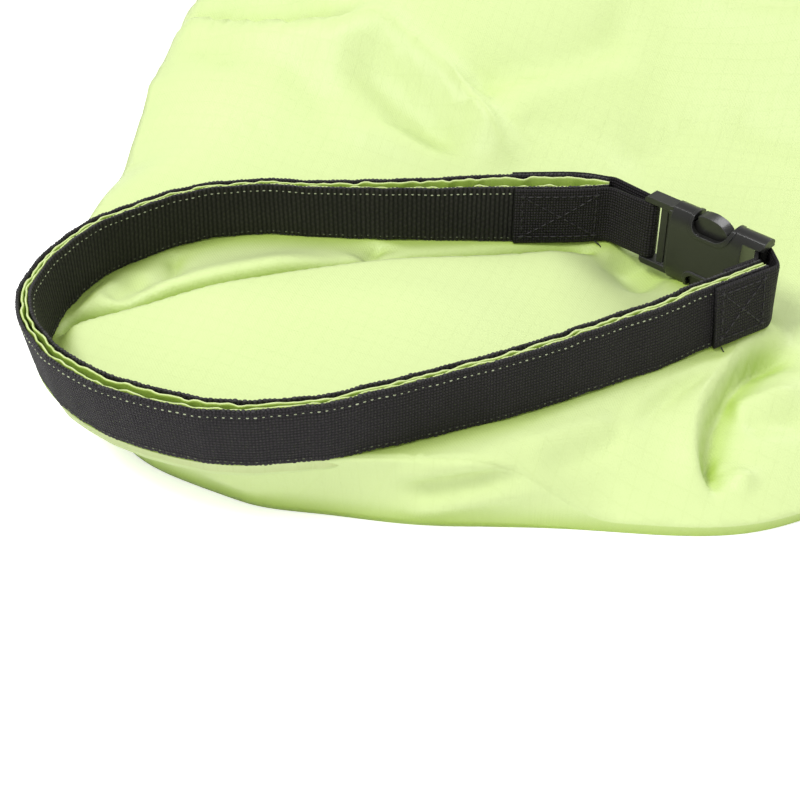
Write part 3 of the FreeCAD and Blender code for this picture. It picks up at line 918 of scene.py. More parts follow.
# heights of the upper surface, drawn in plan
TOP_FOLDS = (
    # inside the loop: the hanging panel, the valley under it and the floor in front
    Fold(((68, 54), (42, 49), (16, 45), (-4, 42), (-20, 38), (-50, 27), (-76, 17), (-97, 9),
          (-110, -4)), 2.4, 14.0, Form.STEP, drop=12.0, far_width=4.2, edge=1.8,
         fade=(0.12, 0.08)),
    Fold(((-97, 18), (-76, 27), (-50, 38), (-18, 49)), 2.4, 7.0, fade=(0.2, 0.3)),
    Fold(((-90, 6), (-50, 10), (0, 18), (45, 22)), 4.2, 20.0, fade=(0.3, 0.35)),
    Fold(((-103, 8), (-98, 24), (-88, 38)), 2.2, 5.0, fade=(0.3, 0.3)),
    Fold(((-92, 20), (-85, 28), (-78, 36)), -2.6, 7.0, fade=(0.35, 0.35)),
    Fold(((-76, 54), (-73, 38), (-77, 27)), -2.4, 3.2, Form.SHARP, fade=(0.2, 0.35)),
    Fold(((-6, 58), (-12, 46)), -2.6, 4.0, Form.SHARP, fade=(0.2, 0.3)),
    Fold(((72, 56), (76, 44), (84, 34)), -4.0, 8.0, fade=(0.3, 0.4)),
    Fold(((92, 48), (96, 30), (104, 18)), 2.4, 9.0, fade=(0.3, 0.3)),
    # under the front of the band, fanning out from a tuck
    Fold(((31, -50), (42, -44), (54, -37), (63, -33)), 0.9, 3.0, fade=(0.3, 0.2)),
    Fold(((36, -53), (47, -47), (57, -41), (66, -34)), -0.9, 2.6, fade=(0.35, 0.2)),
    Fold(((65, -32), (76, -20), (84, -14), (97, -5)), 0.8, 2.6, fade=(0.2, 0.3)),
    Fold(((66, -34), (79, -22), (92, -12), (99, -5)), -0.8, 2.6, fade=(0.2, 0.3)),
    Fold(((89, -53), (86, -46), (85.5, -39), (87, -31), (91, -21), (101, -6), (114, 12)),
         2.4, 7.5, Form.STEP, drop=5.4, far_width=10.0, edge=1.6, fade=(0.18, 0.14)),
    Fold(((96, -20), (106, -18), (122, -14)), 2.0, 4.5, Form.SHARP, fade=(0.15, 0.4)),
    Fold(((98, -28), (110, -26), (124, -24)), -1.8, 4.5, fade=(0.2, 0.4)),
    Fold(((88, -40), (95, -44), (101, -49)), 1.8, 3.4, fade=(0.15, 0.3)),
    # over the filled body
    Fold(((-4, 152), (-16, 153), (-48, 161), (-84, 180)), 4.0, 9.0, Form.STEP, drop=6.0,
         far_width=16.0, edge=4.0, fade=(0.15, 0.1)),
    Fold(((-34, 182), (-13, 156), (1, 142), (17, 129), (32, 110), (43, 96)), 7.0, 9.0,
         Form.SHARP, fade=(0.12, 0.2)),
    Fold(((-24, 146), (-2, 128), (14, 112), (30, 98)), -4.5, 8.0, fade=(0.3, 0.3)),
    Fold(((25, 122), (34, 133), (50, 137), (71, 144), (80, 153), (86, 170)), -4.4, 8.0,
         Form.SHARP, fade=(0.12, 0.25)),
    Fold(((34, 114), (49, 128), (72, 137), (92, 140)), 2.2, 8.0, fade=(0.25, 0.3)),
    Fold(((103, 170), (121, 151), (143, 139), (170, 130)), 4.5, 9.0, Form.SHARP,
         fade=(0.2, 0.25)),
    Fold(((112, 180), (130, 164), (156, 152)), -3.4, 9.0, fade=(0.25, 0.25)),
    Fold(((-80, 168), (-66, 154), (-54, 142)), -1.8, 6.0, fade=(0.3, 0.4)),
    Fold(((-44, 144), (-32, 132), (-20, 120)), -1.8, 8.0, fade=(0.3, 0.4)),
    Fold(((-26, 116), (5, 107), (28, 99)), 1.8, 7.0, fade=(0.3, 0.3)),
    Fold(((74, 98), (98, 112), (118, 118)), -1.8, 9.0, fade=(0.3, 0.3)),
    Fold(((110, 120), (138, 96), (158, 84)), -2.4, 9.0, fade=(0.3, 0.3)),
    # further up, over the crown and towards the base
    Fold(((-40, 262), (10, 246), (70, 262), (140, 250)), -5.0, 16.0, fade=(0.3, 0.3)),
    Fold(((10, 330), (60, 318), (130, 336), (200, 322)), 5.0, 16.0, Form.SHARP, fade=(0.3, 0.3)),
    Fold(((200, 120), (206, 180), (240, 250), (250, 330)), -5.0, 15.0, fade=(0.3, 0.3)),
    Fold(((60, 400), (130, 386), (210, 396), (280, 372)), -4.5, 14.0, fade=(0.3, 0.3)),
    Fold(((-20, 420), (30, 404), (70, 412)), 3.5, 12.0, fade=(0.3, 0.3)),
)
# how far the front side stands out, drawn as distance across and height
FRONT_FOLDS = (
    Fold(((-26, 15), (-1, 19), (17, 22), (36, 24)), 1.6, 2.6, fade=(0.25, 0.3)),
    Fold(((-24, 10), (4, 14), (20, 18), (40, 20)), -2.2, 3.0, Form.SHARP, fade=(0.25, 0.3)),
    Fold(((-18, 3), (8, 7), (22, 11), (44, 15)), 2.0, 3.4, fade=(0.3, 0.35)),
    Fold(((-58, 12), (-44, 8), (-34, 4)), 1.4, 3.0, fade=(0.3, 0.4)),
)


# ------------------------------------------------------------------ the filled body
@dataclass
class SackBody:
    """The fabric body: plan outline, height, folds, slit and base."""

    mouth: MouthLine
    fill: float = 100.0
    rise: float = 180.0
    rear_foot: float = 66.0
    side_foot: tuple[float, float] = (75.0, 66.0)
    side_way: tuple[float, float] = (0.64, 0.77)
    front_shoulder: float = 64.0
    body_shoulder: float = 120.0
    buckle_dip: float = 5.6
    under_band: float = 0.3
    gain: float = 1.4
    axis_turn: float = 14.0
    base_plane: float = 478.0
    pucker: float = 1.1
    crown: float = 97.0
    crown_give: float = 5.0
    table_gap: float = 1.2
    bulge: float = 3.0
    round_drop: float = 8.0
    round_reach: float = 15.0
    spacing: float = 1.6
    far_spacing: float = 5.0
    slit_floor: float = 21.0
    pocket_floor: float = 8.0
    under_web: float = 0.4
    fine_limit: tuple[float, float] = (175.0, 118.0)
    loose_limit: tuple[float, float] = (168.0, 112.0)
    rows_from: tuple[float, float] = (174.0, 118.0)
    ring_count: int = 460
    side_levels: int = 12
    side_reach: float = 24.0
    edge_rows: tuple[float, ...] = (2.5, 5.5, 9.0)
    edge_insets: Sequence[float] = (7, 14, 18, 19, 19, 18, 18)
    front: Sequence[tuple[float, float, float]] = (
        (125, -47, 6), (100, -57, 2), (50, -56, 1), (2, -55.5, 2))
    rest: Sequence[tuple[float, float, float]] = (
        (-107, 50, 20), (-102, 92, 24), (-94, 145, 26), (-81, 195, 26), (-54, 290, 26),
        (-24, 400, 26), (-3, 474, 26), (22, 508, 26), (72, 511, 24), (190, 480, 22),
        (308, 450, 24), (353, 425, 26), (363, 380, 26), (344, 280, 26), (320, 175, 26),
        (288, 82, 26), (246, 28, 24), (188, -14, 16))
    folds: Sequence[Fold] = TOP_FOLDS
    front_folds: Sequence[Fold] = FRONT_FOLDS

    def __post_init__(self) -> None:
        """Fit the outline and sample the lines that heights are read from."""
        runs = self.mouth.line.runs[5:12]
        under = self.mouth.at(runs, self.under_band + self.mouth.gap(runs) / 2,
                              self.mouth.bottom + self.mouth.width / 2)
        rows = [*self.front, *(tuple(p[:2]) + (i,) for p, i in zip(under, self.edge_insets)),
                *self.rest]
        self.outline = Curve(rows, closed=True)
        self.edge = self.outline.at(np.linspace(0, self.outline.length, 420)[:-1])
        self.edge_line = np.vstack((self.edge, self.edge[:1]))
        self.rim = self.mouth.bottom - self.under_web
        s = np.linspace(0, self.mouth.length, 260)
        self.band = self.mouth.at(s, 0.0, self.mouth.bottom)

    # -- heights
    def height(self, xy: np.ndarray) -> np.ndarray:
        """Height of the upper surface, folds included.

        Args:
            xy: plan points.

        Returns:
            Millimetres above the table.
        """
        plain = self.plain_height(xy)
        total = np.zeros(len(xy))
        for fold in self.folds:
            total += self.gain * fold.height(xy)
        d, _ = nearest_on(self.band, xy)
        free = smoothstep((np.abs(d) - 2.5) / 6.0)
        edge, along = nearest_on(self.edge_line, xy)
        edge = np.abs(edge)
        free = free * smoothstep(edge / 5.0)
        rounded = self.round_drop * smoothstep((plain - 34) / 30)
        rounded = rounded * np.maximum(0, 1 - edge / self.round_reach) ** 2
        body = plain - rounded + self.puckers(xy, edge, along)
        raised = body + total * free
        over = np.maximum(raised - self.crown, 0)
        capped = np.minimum(raised, self.crown) + self.crown_give * np.tanh(over / self.crown_give)
        return np.maximum(capped, self.table_gap)

    def puckers(self, xy: np.ndarray, edge: np.ndarray, along: np.ndarray) -> np.ndarray:
        """Small gathers where the cloth meets its seams.

        Args:
            xy: plan points.
            edge: their distance from the outline.
            along: share of the outline's length where each is nearest to it.

        Returns:
            Millimetres of height to add.
        """
        a = math.radians(self.axis_turn)
        reach = xy[:, 0] * math.sin(a) + xy[:, 1] * math.cos(a)
        across = xy[:, 0] * math.cos(a) - xy[:, 1] * math.sin(a)
        near_base = np.exp(-np.abs(reach - self.base_plane) / 17.0)
        body = smoothstep((xy[:, 1] - 105) / 60)
        at_base = self.pucker * waves(across, 31, 27.0, 4) * near_base
        at_side = self.pucker * waves(along * self.outline.length, 33, 38.0, 4)
        return (at_base + at_side * np.exp(-edge / 20.0)) * body

    def plain_height(self, xy: np.ndarray) -> np.ndarray:
        """Height without folds.

        Args:
            xy: plan points.

        Returns:
            Millimetres above the table.
        """
        x, y = xy[:, 0], xy[:, 1]
        slant = self.side_way[0] * (x - self.side_foot[0]) + self.side_way[1] * (y - self.side_foot[1])
        q = soft_max(slant, y - self.rear_foot, 18) - 4
        d, _ = nearest_on(self.band, xy)
        away = smoothstep((np.abs(d) - 1.5) / 9.0)
        in_front = smoothstep((2 - y) / 12) * (d > 0)
        dip = self.buckle_dip * smoothstep((x - 48) / 50) * away * (1 - 0.65 * in_front)
        low = self.rim - dip
        swell = (self.fill - low) * smoothstep(q / self.rise)
        shoulder = soft_max(self.front_shoulder * smoothstep((x - 5) / 95),
                            self.body_shoulder * smoothstep((y - 62) / 130), 1.0)
        edge, _ = nearest_on(self.edge_line, xy)
        edge = np.abs(edge)
        share = (0.86 - 0.50 * smoothstep((y - 15) / 75)) * smoothstep(shoulder / 40)
        fall = share * np.maximum(0, 1 - edge / shoulder) ** 2
        near_band = 1 - smoothstep((np.abs(d) - 1.5) / 7.0)
        held = np.maximum(1 - fall, 0.1)
        held = held + (1 - held) * near_band * (x < 112)
        return (low + swell) * held

    # -- mesh
    def plan_points(self) -> np.ndarray:
        """Loose plan points, closer together round the mouth.

        Returns:
            The points, inside the outline and clear of the slit.
        """
        low, high = self.edge[:, :2].min(0), self.edge[:, :2].max(0)
        rng = np.random.default_rng(SEED)
        found = []
        for step, near in ((self.spacing, True), (self.far_spacing, False)):
            xs = np.arange(low[0], high[0], step)
            ys = np.arange(low[1], high[1], step * 0.866)
            grid_x, grid_y = np.meshgrid(xs, ys)
            grid_x = grid_x + (np.arange(len(ys)) % 2)[:, None] * step / 2
            xy = np.stack((grid_x.ravel(), grid_y.ravel()), axis=1)
            xy += rng.normal(0, step * 0.06, xy.shape)
            close = np.all(xy < self.fine_limit, axis=1)
            found.append(xy[close if near else ~close])
        xy = np.vstack(found)
        xy = xy[inside(self.edge[:, :2], xy)]
        edge, _ = nearest_on(self.edge_line, xy)
        d, share = nearest_on(self.band, xy)
        half = self.mouth.gap(share * self.mouth.length) / 2
        far = np.any(xy > self.loose_limit, axis=1)
        clear = np.where(far, self.edge_rows[-1] + 2.5, self.spacing * 0.7)
        keep = (np.abs(edge) > clear) & (np.abs(d) > half + 0.9)
        return xy[keep]

    def slit_loop(self) -> tuple[np.ndarray, np.ndarray]:
        """Closed line round the slit, and the depth of its floor at each point.

        Returns:
            The points of the line, and a depth for each.
        """
        s = np.linspace(0, self.mouth.length, 221)
        half = self.mouth.gap(s) / 2
        out = self.mouth.at(s, half, self.rim)
        back = self.mouth.at(s, -half, self.rim)[::-1]
        pocket = smoothstep((s - self.mouth.length + 62) / 6) * smoothstep(
            (self.mouth.length - 7 - s) / 5)
        floor = self.slit_floor + (self.pocket_floor - self.slit_floor) * pocket
        return np.vstack((out, back)), np.concatenate((floor, floor[::-1]))

    def build(self, material: bpy.types.Material) -> bpy.types.Object:
        """The closed body, its top, sides, underside and the open slit, as one mesh.

        Args:
            material: its finish.

        Returns:
            The new object.
        """
        n = self.ring_count
        runs = np.linspace(0, self.outline.length, n + 1)[:-1]
        ring, way = self.outline.at(runs), self.outline.direction(runs)
        inward = np.stack((way[:, 1], -way[:, 0]), axis=1)
        slit, floor = self.slit_loop()
        loose = self.plan_points()
        far = np.any(ring[:, :2] > self.rows_from, axis=1)
        rows = [ring[far, :2] + inward[far] * row for row in self.edge_rows]
        loose = np.vstack((loose, *rows))
        plan = np.vstack((ring[:, :2], slit[:, :2], loose))
        m = len(slit)
        edges = [(i, (i + 1) % n) for i in range(n)]
        edges += [(n + i, n + (i + 1) % m) for i in range(m)]
        verts, _, faces, origin, _, _ = delaunay_2d_cdt(
            [Vector(p) for p in plan], edges, [], 0, 1e-6, True)
        plan = np.array([tuple(v) for v in verts])
        faces = np.array([f for f in faces if len(f) == 3])
        middle = plan[faces].mean(axis=1)
        keep = inside(ring[:, :2], middle) & ~inside(slit[:, :2], middle)
        faces = faces[keep]
        old = {source: i for i, sources in enumerate(origin) for source in sources}
        ring_ids = [old[i] for i in range(n)]
        slit_ids = [old[n + i] for i in range(m)]
        top = np.column_stack((plan, self.height(plan)))
        top[slit_ids, 2] = slit[:, 2]
        points, polygons = [tuple(p) for p in top], [tuple(f) for f in faces]
        self.add_sides(points, polygons, ring_ids, ring, inward)
        self.add_slit(points, polygons, slit_ids, slit, floor)
        placed = self.shape_front(np.array(points))
        made = mesh_object("whole_body", placed, polygons, material)
        face_out(made)
        return made

    def add_sides(self, points: list, polygons: list, ids: Sequence[int], ring: np.ndarray,
                  inward: np.ndarray) -> None:
        """Sides that curve in from the outline down to the table, and the underside.

        Args:
            points: the body's points so far.
            polygons: its faces so far.
            ids: numbers of the points round the outline.
            ring: the outline, with how far the sides pull in below each point.
            inward: the way in from each of its points.
        """
        n, previous = len(ring), list(ids)
        heights = np.array([points[i][2] for i in ids])
        power = 0.5 + 0.9 * smoothstep((ring[:, 1] - 10) / 60)
        for level in np.linspace(1, 0, self.side_levels + 1)[1:]:
            z = heights * level
            share = (np.clip(1 - z / self.side_reach, 0, 1) ** power
                     - np.clip(1 - heights / self.side_reach, 0, 1) ** power)
            bulge = self.bulge * np.sin(math.pi * level) * np.clip((heights - 26) / 40, 0, 1)
            xy = ring[:, :2] + inward * (ring[:, 2] * share - bulge)[:, None]
            first = len(points)
            points.extend((*p, h) for p, h in zip(xy, z))
            current = list(range(first, first + n))
            polygons.extend((previous[i], previous[(i + 1) % n], current[(i + 1) % n], current[i])
                            for i in range(n))
            previous = current
        polygons.append(tuple(previous))

    def shape_front(self, points: np.ndarray) -> np.ndarray:
        """Fold the upright front side, which no height can shape.

        Args:
            points: the body's points.

        Returns:
            The points with the front side's folds.
        """
        d, _ = nearest_on(self.band, points[:, :2])
        share = smoothstep((np.abs(d) - 4.5) / 4.0) * (points[:, 1] < -36)
        share *= smoothstep(points[:, 2] / 3.0)
        push = sum(fold.height(points[:, [0, 2]]) for fold in self.front_folds)
        points[:, 1] -= push * share
        return points

    @staticmethod
    def add_slit(points: list, polygons: list, ids: Sequence[int], slit: np.ndarray,
                 floor: np.ndarray) -> None:
        """Walls and floor of the slit.

        Args:
            points: the body's points so far.
            polygons: its faces so far.
            ids: numbers of the points round the slit.
            slit: the closed line round it.
            floor: depth of its floor at each point.
        """
        m = len(slit)
        previous = list(ids)
        for share in (0.25, 0.6, 1.0):
            z = slit[:, 2] + (floor - slit[:, 2]) * share
            first = len(points)
            points.extend((x, y, h) for (x, y, _), h in zip(slit, z))
            current = list(range(first, first + m))
            polygons.extend((previous[(i + 1) % m], previous[i], current[i], current[(i + 1) % m])
                            for i in range(m))
            previous = current
        half = m // 2
        polygons.extend((previous[i], previous[i + 1], previous[m - 2 - i], previous[m - 1 - i])
                        for i in range(half - 1))


@dataclass(frozen=True)
class Settling:
    """A short cloth simulation that lets the loose part of the body puff out and wrinkle."""

    frames: int = 20
    pressure: float = 4.0
    oversize: float = 0.016
    cap: float = 4.0
    held_in_front: float = 76.0
    free_over: float = 55.0
    quality: int = 4
    mass: float = 0.2
    stretch: float = 15.0
    shear: float = 6.0
    bending: float = 0.25

    def freedom(self, points: np.ndarray) -> np.ndarray:
        """How free each point is: nothing at the mouth and on the table, 1 on the body.

        Args:
            points: the body's points, in millimetres.

        Returns:
            A share for each point.
        """
        behind = smoothstep((points[:, 1] - self.held_in_front) / self.free_over)
        right = smoothstep((points[:, 0] - 128) / 50) * smoothstep((points[:, 1] + 20) / 40)
        return np.maximum(behind, right) * smoothstep((points[:, 2] - 2) / 14)

    @staticmethod
    def smoothed(shift: np.ndarray, mesh: bpy.types.Mesh, passes: int = 2) -> np.ndarray:
        """Even out a shift between neighbouring points.

        Args:
            shift: one row for each point.
            mesh: whose edges join the neighbours.
            passes: how often it is done.

        Returns:
            The evened shift.
        """
        ends = np.array([tuple(edge.vertices) for edge in mesh.edges])
        number = np.bincount(ends.ravel(), minlength=len(shift))[:, None]
        for _ in range(passes):
            total = np.zeros_like(shift)
            np.add.at(total, ends[:, 0], shift[ends[:, 1]])
            np.add.at(total, ends[:, 1], shift[ends[:, 0]])
            shift = (shift + total / np.maximum(number, 1)) / 2
        return shift

    def simulate(self, cloth: bpy.types.Object) -> np.ndarray:
        """Let a piece of cloth settle, held where its group "held" says.

        Args:
            cloth: the piece.

        Returns:
            Its points afterwards, in metres.
        """
        modifier = cloth.modifiers.new("settle", "CLOTH")
        modifier.point_cache.frame_end = self.frames
        settings = modifier.settings
        settings.quality = self.quality
        settings.mass = self.mass
        settings.tension_stiffness = settings.compression_stiffness = self.stretch
        settings.shear_stiffness = self.shear
        settings.bending_stiffness = self.bending
        settings.vertex_group_mass = "held"
        settings.pin_stiffness = 1.0
        settings.use_pressure = True
        settings.uniform_pressure_force = self.pressure
        settings.shrink_min = -self.oversize
        settings.effector_weights.gravity = 0.0
        modifier.collision_settings.use_collision = False
        for number in range(1, self.frames + 1):
            bpy.context.scene.frame_set(number)
        settled = cloth.evaluated_get(bpy.context.evaluated_depsgraph_get()).data.vertices
        moved = np.empty(len(settled) * 3)
        settled.foreach_get("co", moved)
        return moved.reshape(-1, 3)

    def run(self, body: bpy.types.Object) -> None:
        """Simulate on a copy and move the body's points by what comes out, capped.

        Args:
            body: the closed body mesh.
        """
        mesh = body.data
        rest = np.empty(len(mesh.vertices) * 3)
        mesh.vertices.foreach_get("co", rest)
        rest = rest.reshape(-1, 3)
        free = self.freedom(rest / MM - MOUTH_ORIGIN)
        faces = [tuple(p.vertices) for p in mesh.polygons
                 if len(p.vertices) < 5 and free[list(p.vertices)].max() > 0]
        used = sorted({index for face in faces for index in face})
        place = {index: number for number, index in enumerate(used)}
        patch = bpy.data.meshes.new("settling")
        patch.from_pydata([tuple(rest[i]) for i in used], [],
                          [tuple(place[i] for i in face) for face in faces])
        cloth = linked("settling", patch)
        held = cloth.vertex_groups.new(name="held")
        for index in used:
            held.add([place[index]], float(1 - free[index]), "REPLACE")
        part = self.smoothed(self.simulate(cloth) - rest[used], patch)
        size = np.linalg.norm(part, axis=1, keepdims=True)
        LOG.info("cloth moved %.1f mm at most", float(size.max()) / MM)
        limit = self.cap * MM
        shift = np.zeros_like(rest)
        shift[used] = part * np.tanh(size / limit) * limit / np.maximum(size, 1e-9)
        settled = rest + shift * smoothstep(free)[:, None]
        settled[:, 2] = np.maximum(settled[:, 2], 0.0)
        mesh.vertices.foreach_set("co", settled.ravel())
        mesh.update()
        bpy.data.objects.remove(cloth)
        bpy.context.scene.frame_set(1)


@dataclass(frozen=True)
class Plane:
    """A plane that cuts the fabric, in mouth-frame millimetres."""

    place: tuple[float, float, float]
    normal: tuple[float, float, float]

    def keep_below(self, bm: bmesh.types.BMesh, capped: bool) -> None:
        """Keep what lies behind the plane.

        Args:
            bm: the mesh, in part-frame metres.
            capped: whether the cut is closed.
        """
        geometry = [*bm.verts, *bm.edges, *bm.faces]
        cut = bmesh.ops.bisect_plane(
            bm, geom=geometry, dist=1e-7, plane_co=to_part(np.array(self.place)),
            plane_no=self.normal, clear_outer=True)["geom_cut"]
        if capped:
            rim = [e for e in cut if isinstance(e, bmesh.types.BMEdge) and e.is_boundary]
            bmesh.ops.edgeloop_fill(bm, edges=rim)

    def turned(self) -> "Plane":
        """The same plane, facing the other way."""
        return Plane(self.place, tuple(-n for n in self.normal))


@dataclass
class FabricCuts:
    """The body cut at its base seam, and the flat tapes sewn over its seams."""

    whole: bpy.types.Object
    finishes: Finishes
    turn: float
    base_plane: float
    sewn_gap: float = 0.15
    tape_width: float = 9.0
    tape_thick: float = 0.8
    seam_levels: tuple[float, float] = (36.0, 44.0)
    seam_thick: float = 0.6
    seam_corner: tuple[float, float] = (200.0, 60.0)
    seam_start: float = 40.0
    lining_gap: float = 0.05
    row_offset: float = 3.0
    stitch: Bead = Bead(pitch=3.3, length=2.2, width=0.5, thick=0.35)

    def across(self, distance: float) -> Plane:
        """The plane across the body's long axis at a distance along it.

        Args:
            distance: the distance.

        Returns:
            The plane, facing the base.
        """
        a = math.radians(self.turn)
        way = (math.sin(a), math.cos(a), 0.0)
        return Plane(tuple(distance * w for w in way), way)

    def part(self, name: str, planes: Sequence[Plane],
             material: bpy.types.Material) -> bpy.types.Object:
        """The share of the body behind every plane.

        Args:
            name: name of the new piece.
            planes: the planes.
            material: its finish.

        Returns:
            The piece.
        """
        bm = bmesh.new()
        bm.from_mesh(self.whole.data)
        for plane in planes:
            plane.keep_below(bm, True)
        return self.object_from(name, bm, material)

    @staticmethod
    def object_from(name: str, bm: bmesh.types.BMesh,
                    material: bpy.types.Material) -> bpy.types.Object:
        """An object from a bmesh, which is freed.

        Args:
            name: its name.
            bm: the bmesh.
            material: its finish.

        Returns:
            The new object.
        """
        mesh = bpy.data.meshes.new(name)
        bm.to_mesh(mesh)
        bm.free()
        mesh.materials.append(material)
        shade_smooth(mesh)
        return linked(name, mesh)

    def tape(self, name: str, planes: Sequence[Plane], thick: float) -> bpy.types.Object:
        """A flat tape lying on the body between planes.

        Args:
            name: name of the new piece.
            planes: the planes that bound it.
            thick: its thickness.

        Returns:
            The closed piece.
        """
        bm = bmesh.new()
        bm.from_mesh(self.whole.data)
        bm.normal_update()
        under = [f for f in bm.faces if f.normal.z < -0.9 and f.calc_center_median().z < MM]
        bmesh.ops.delete(bm, geom=under, context="FACES")
        for plane in planes:
            plane.keep_below(bm, False)
        loose = [v for v in bm.verts if not v.link_faces]
        bmesh.ops.delete(bm, geom=loose, context="VERTS")
        bm.normal_update()
        lower = list(bm.faces)
        normals = {v: v.normal.copy() for v in bm.verts}
        copy = bmesh.ops.duplicate(bm, geom=[*bm.verts, *bm.edges, *bm.faces])
        twin = copy["vert_map"]
        rims = [tuple(e.verts) for e in bm.edges
                if e.is_boundary and e.verts[0] in normals and e.verts[0] in twin]
        for vert, normal in normals.items():
            twin[vert].co = vert.co + normal * thick * MM
            twin[vert].co.z = max(twin[vert].co.z, 0.0)
            vert.co += normal * self.lining_gap * MM
            vert.co.z = max(vert.co.z, 0.0)
        for a, b in rims:
            bm.faces.new((a, b, twin[b], twin[a]))
        bmesh.ops.reverse_faces(bm, faces=lower)
        bmesh.ops.recalc_face_normals(bm, faces=bm.faces)
        return self.object_from(name, bm, self.finishes.seam)

    def seam_rows(self) -> list[np.ndarray]:
        """Lines of stitching round the base tape.

        Returns:
            One line for each row.
        """
        rows = []
        for off in (-self.row_offset, self.row_offset):
            plane = self.across(self.base_plane + off)
            bm = bmesh.new()
            bm.from_mesh(self.whole.data)
            geometry = [*bm.verts, *bm.edges, *bm.faces]
            cut = bmesh.ops.bisect_plane(
                bm, geom=geometry, dist=1e-7, plane_co=to_part(np.array(plane.place)),
                plane_no=plane.normal)["geom_cut"]
            found = [tuple(v.co) for v in cut if isinstance(v, bmesh.types.BMVert)]
            bm.free()
            points = np.array(found) / MM - MOUTH_ORIGIN
            middle = (points.max(0) + points.min(0)) / 2
            side = np.array((plane.normal[1], -plane.normal[0], 0.0))
            reach = (points - middle) @ side
            rise = points[:, 2] - 20.0
            angle = np.arctan2(rise, reach / 4)
            points = points[np.argsort(angle)]
            points = points[points[:, 2] > 4.0]
            lift = np.array((0.0, 0.0, self.tape_thick + 0.1))
            outward = np.clip((points - middle) @ side / 60, -1, 1)[:, None] * side
            low = smoothstep((60 - points[:, 2]) / 40)[:, None]
            rows.append(points + lift * (1 - low * 0.7) + outward * low * (self.tape_thick + 0.1))
        return rows

    def build(self) -> dict[str, bpy.types.Object]:
        """The body, the base, their tapes and the base's stitching, by name.

        Returns:
            The pieces.
        """
        half = self.tape_width / 2
        base = self.across(self.base_plane)
        low, high = self.seam_levels
        x, y = self.seam_corner
        seam = [Plane((0, 0, high), (0, 0, 1)), Plane((0, 0, low), (0, 0, -1)),
                Plane((x, 0, 0), (-1, 0, 0)), Plane((0, y, 0), (0, -1, 0)),
                self.across(self.seam_start).turned(),
                self.across(self.base_plane - half - self.sewn_gap)]
        return {
            "fabric_body": self.part("fabric_body", [self.across(self.base_plane - self.sewn_gap)],
                                     self.finishes.ripstop),
            "base_cloth": self.part("base_cloth", [base.turned()], self.finishes.ripstop),
            "base_tape": self.tape("base_tape", [self.across(self.base_plane + half),
                                                 self.across(self.base_plane - half).turned()],
                                   self.tape_thick),
            "side_tape": self.tape("side_tape", seam, self.seam_thick),
            "base_stitches": row_of_beads("base_stitches", self.seam_rows(), self.stitch,
                                          self.finishes.green_thread, SEED + 9),
        }


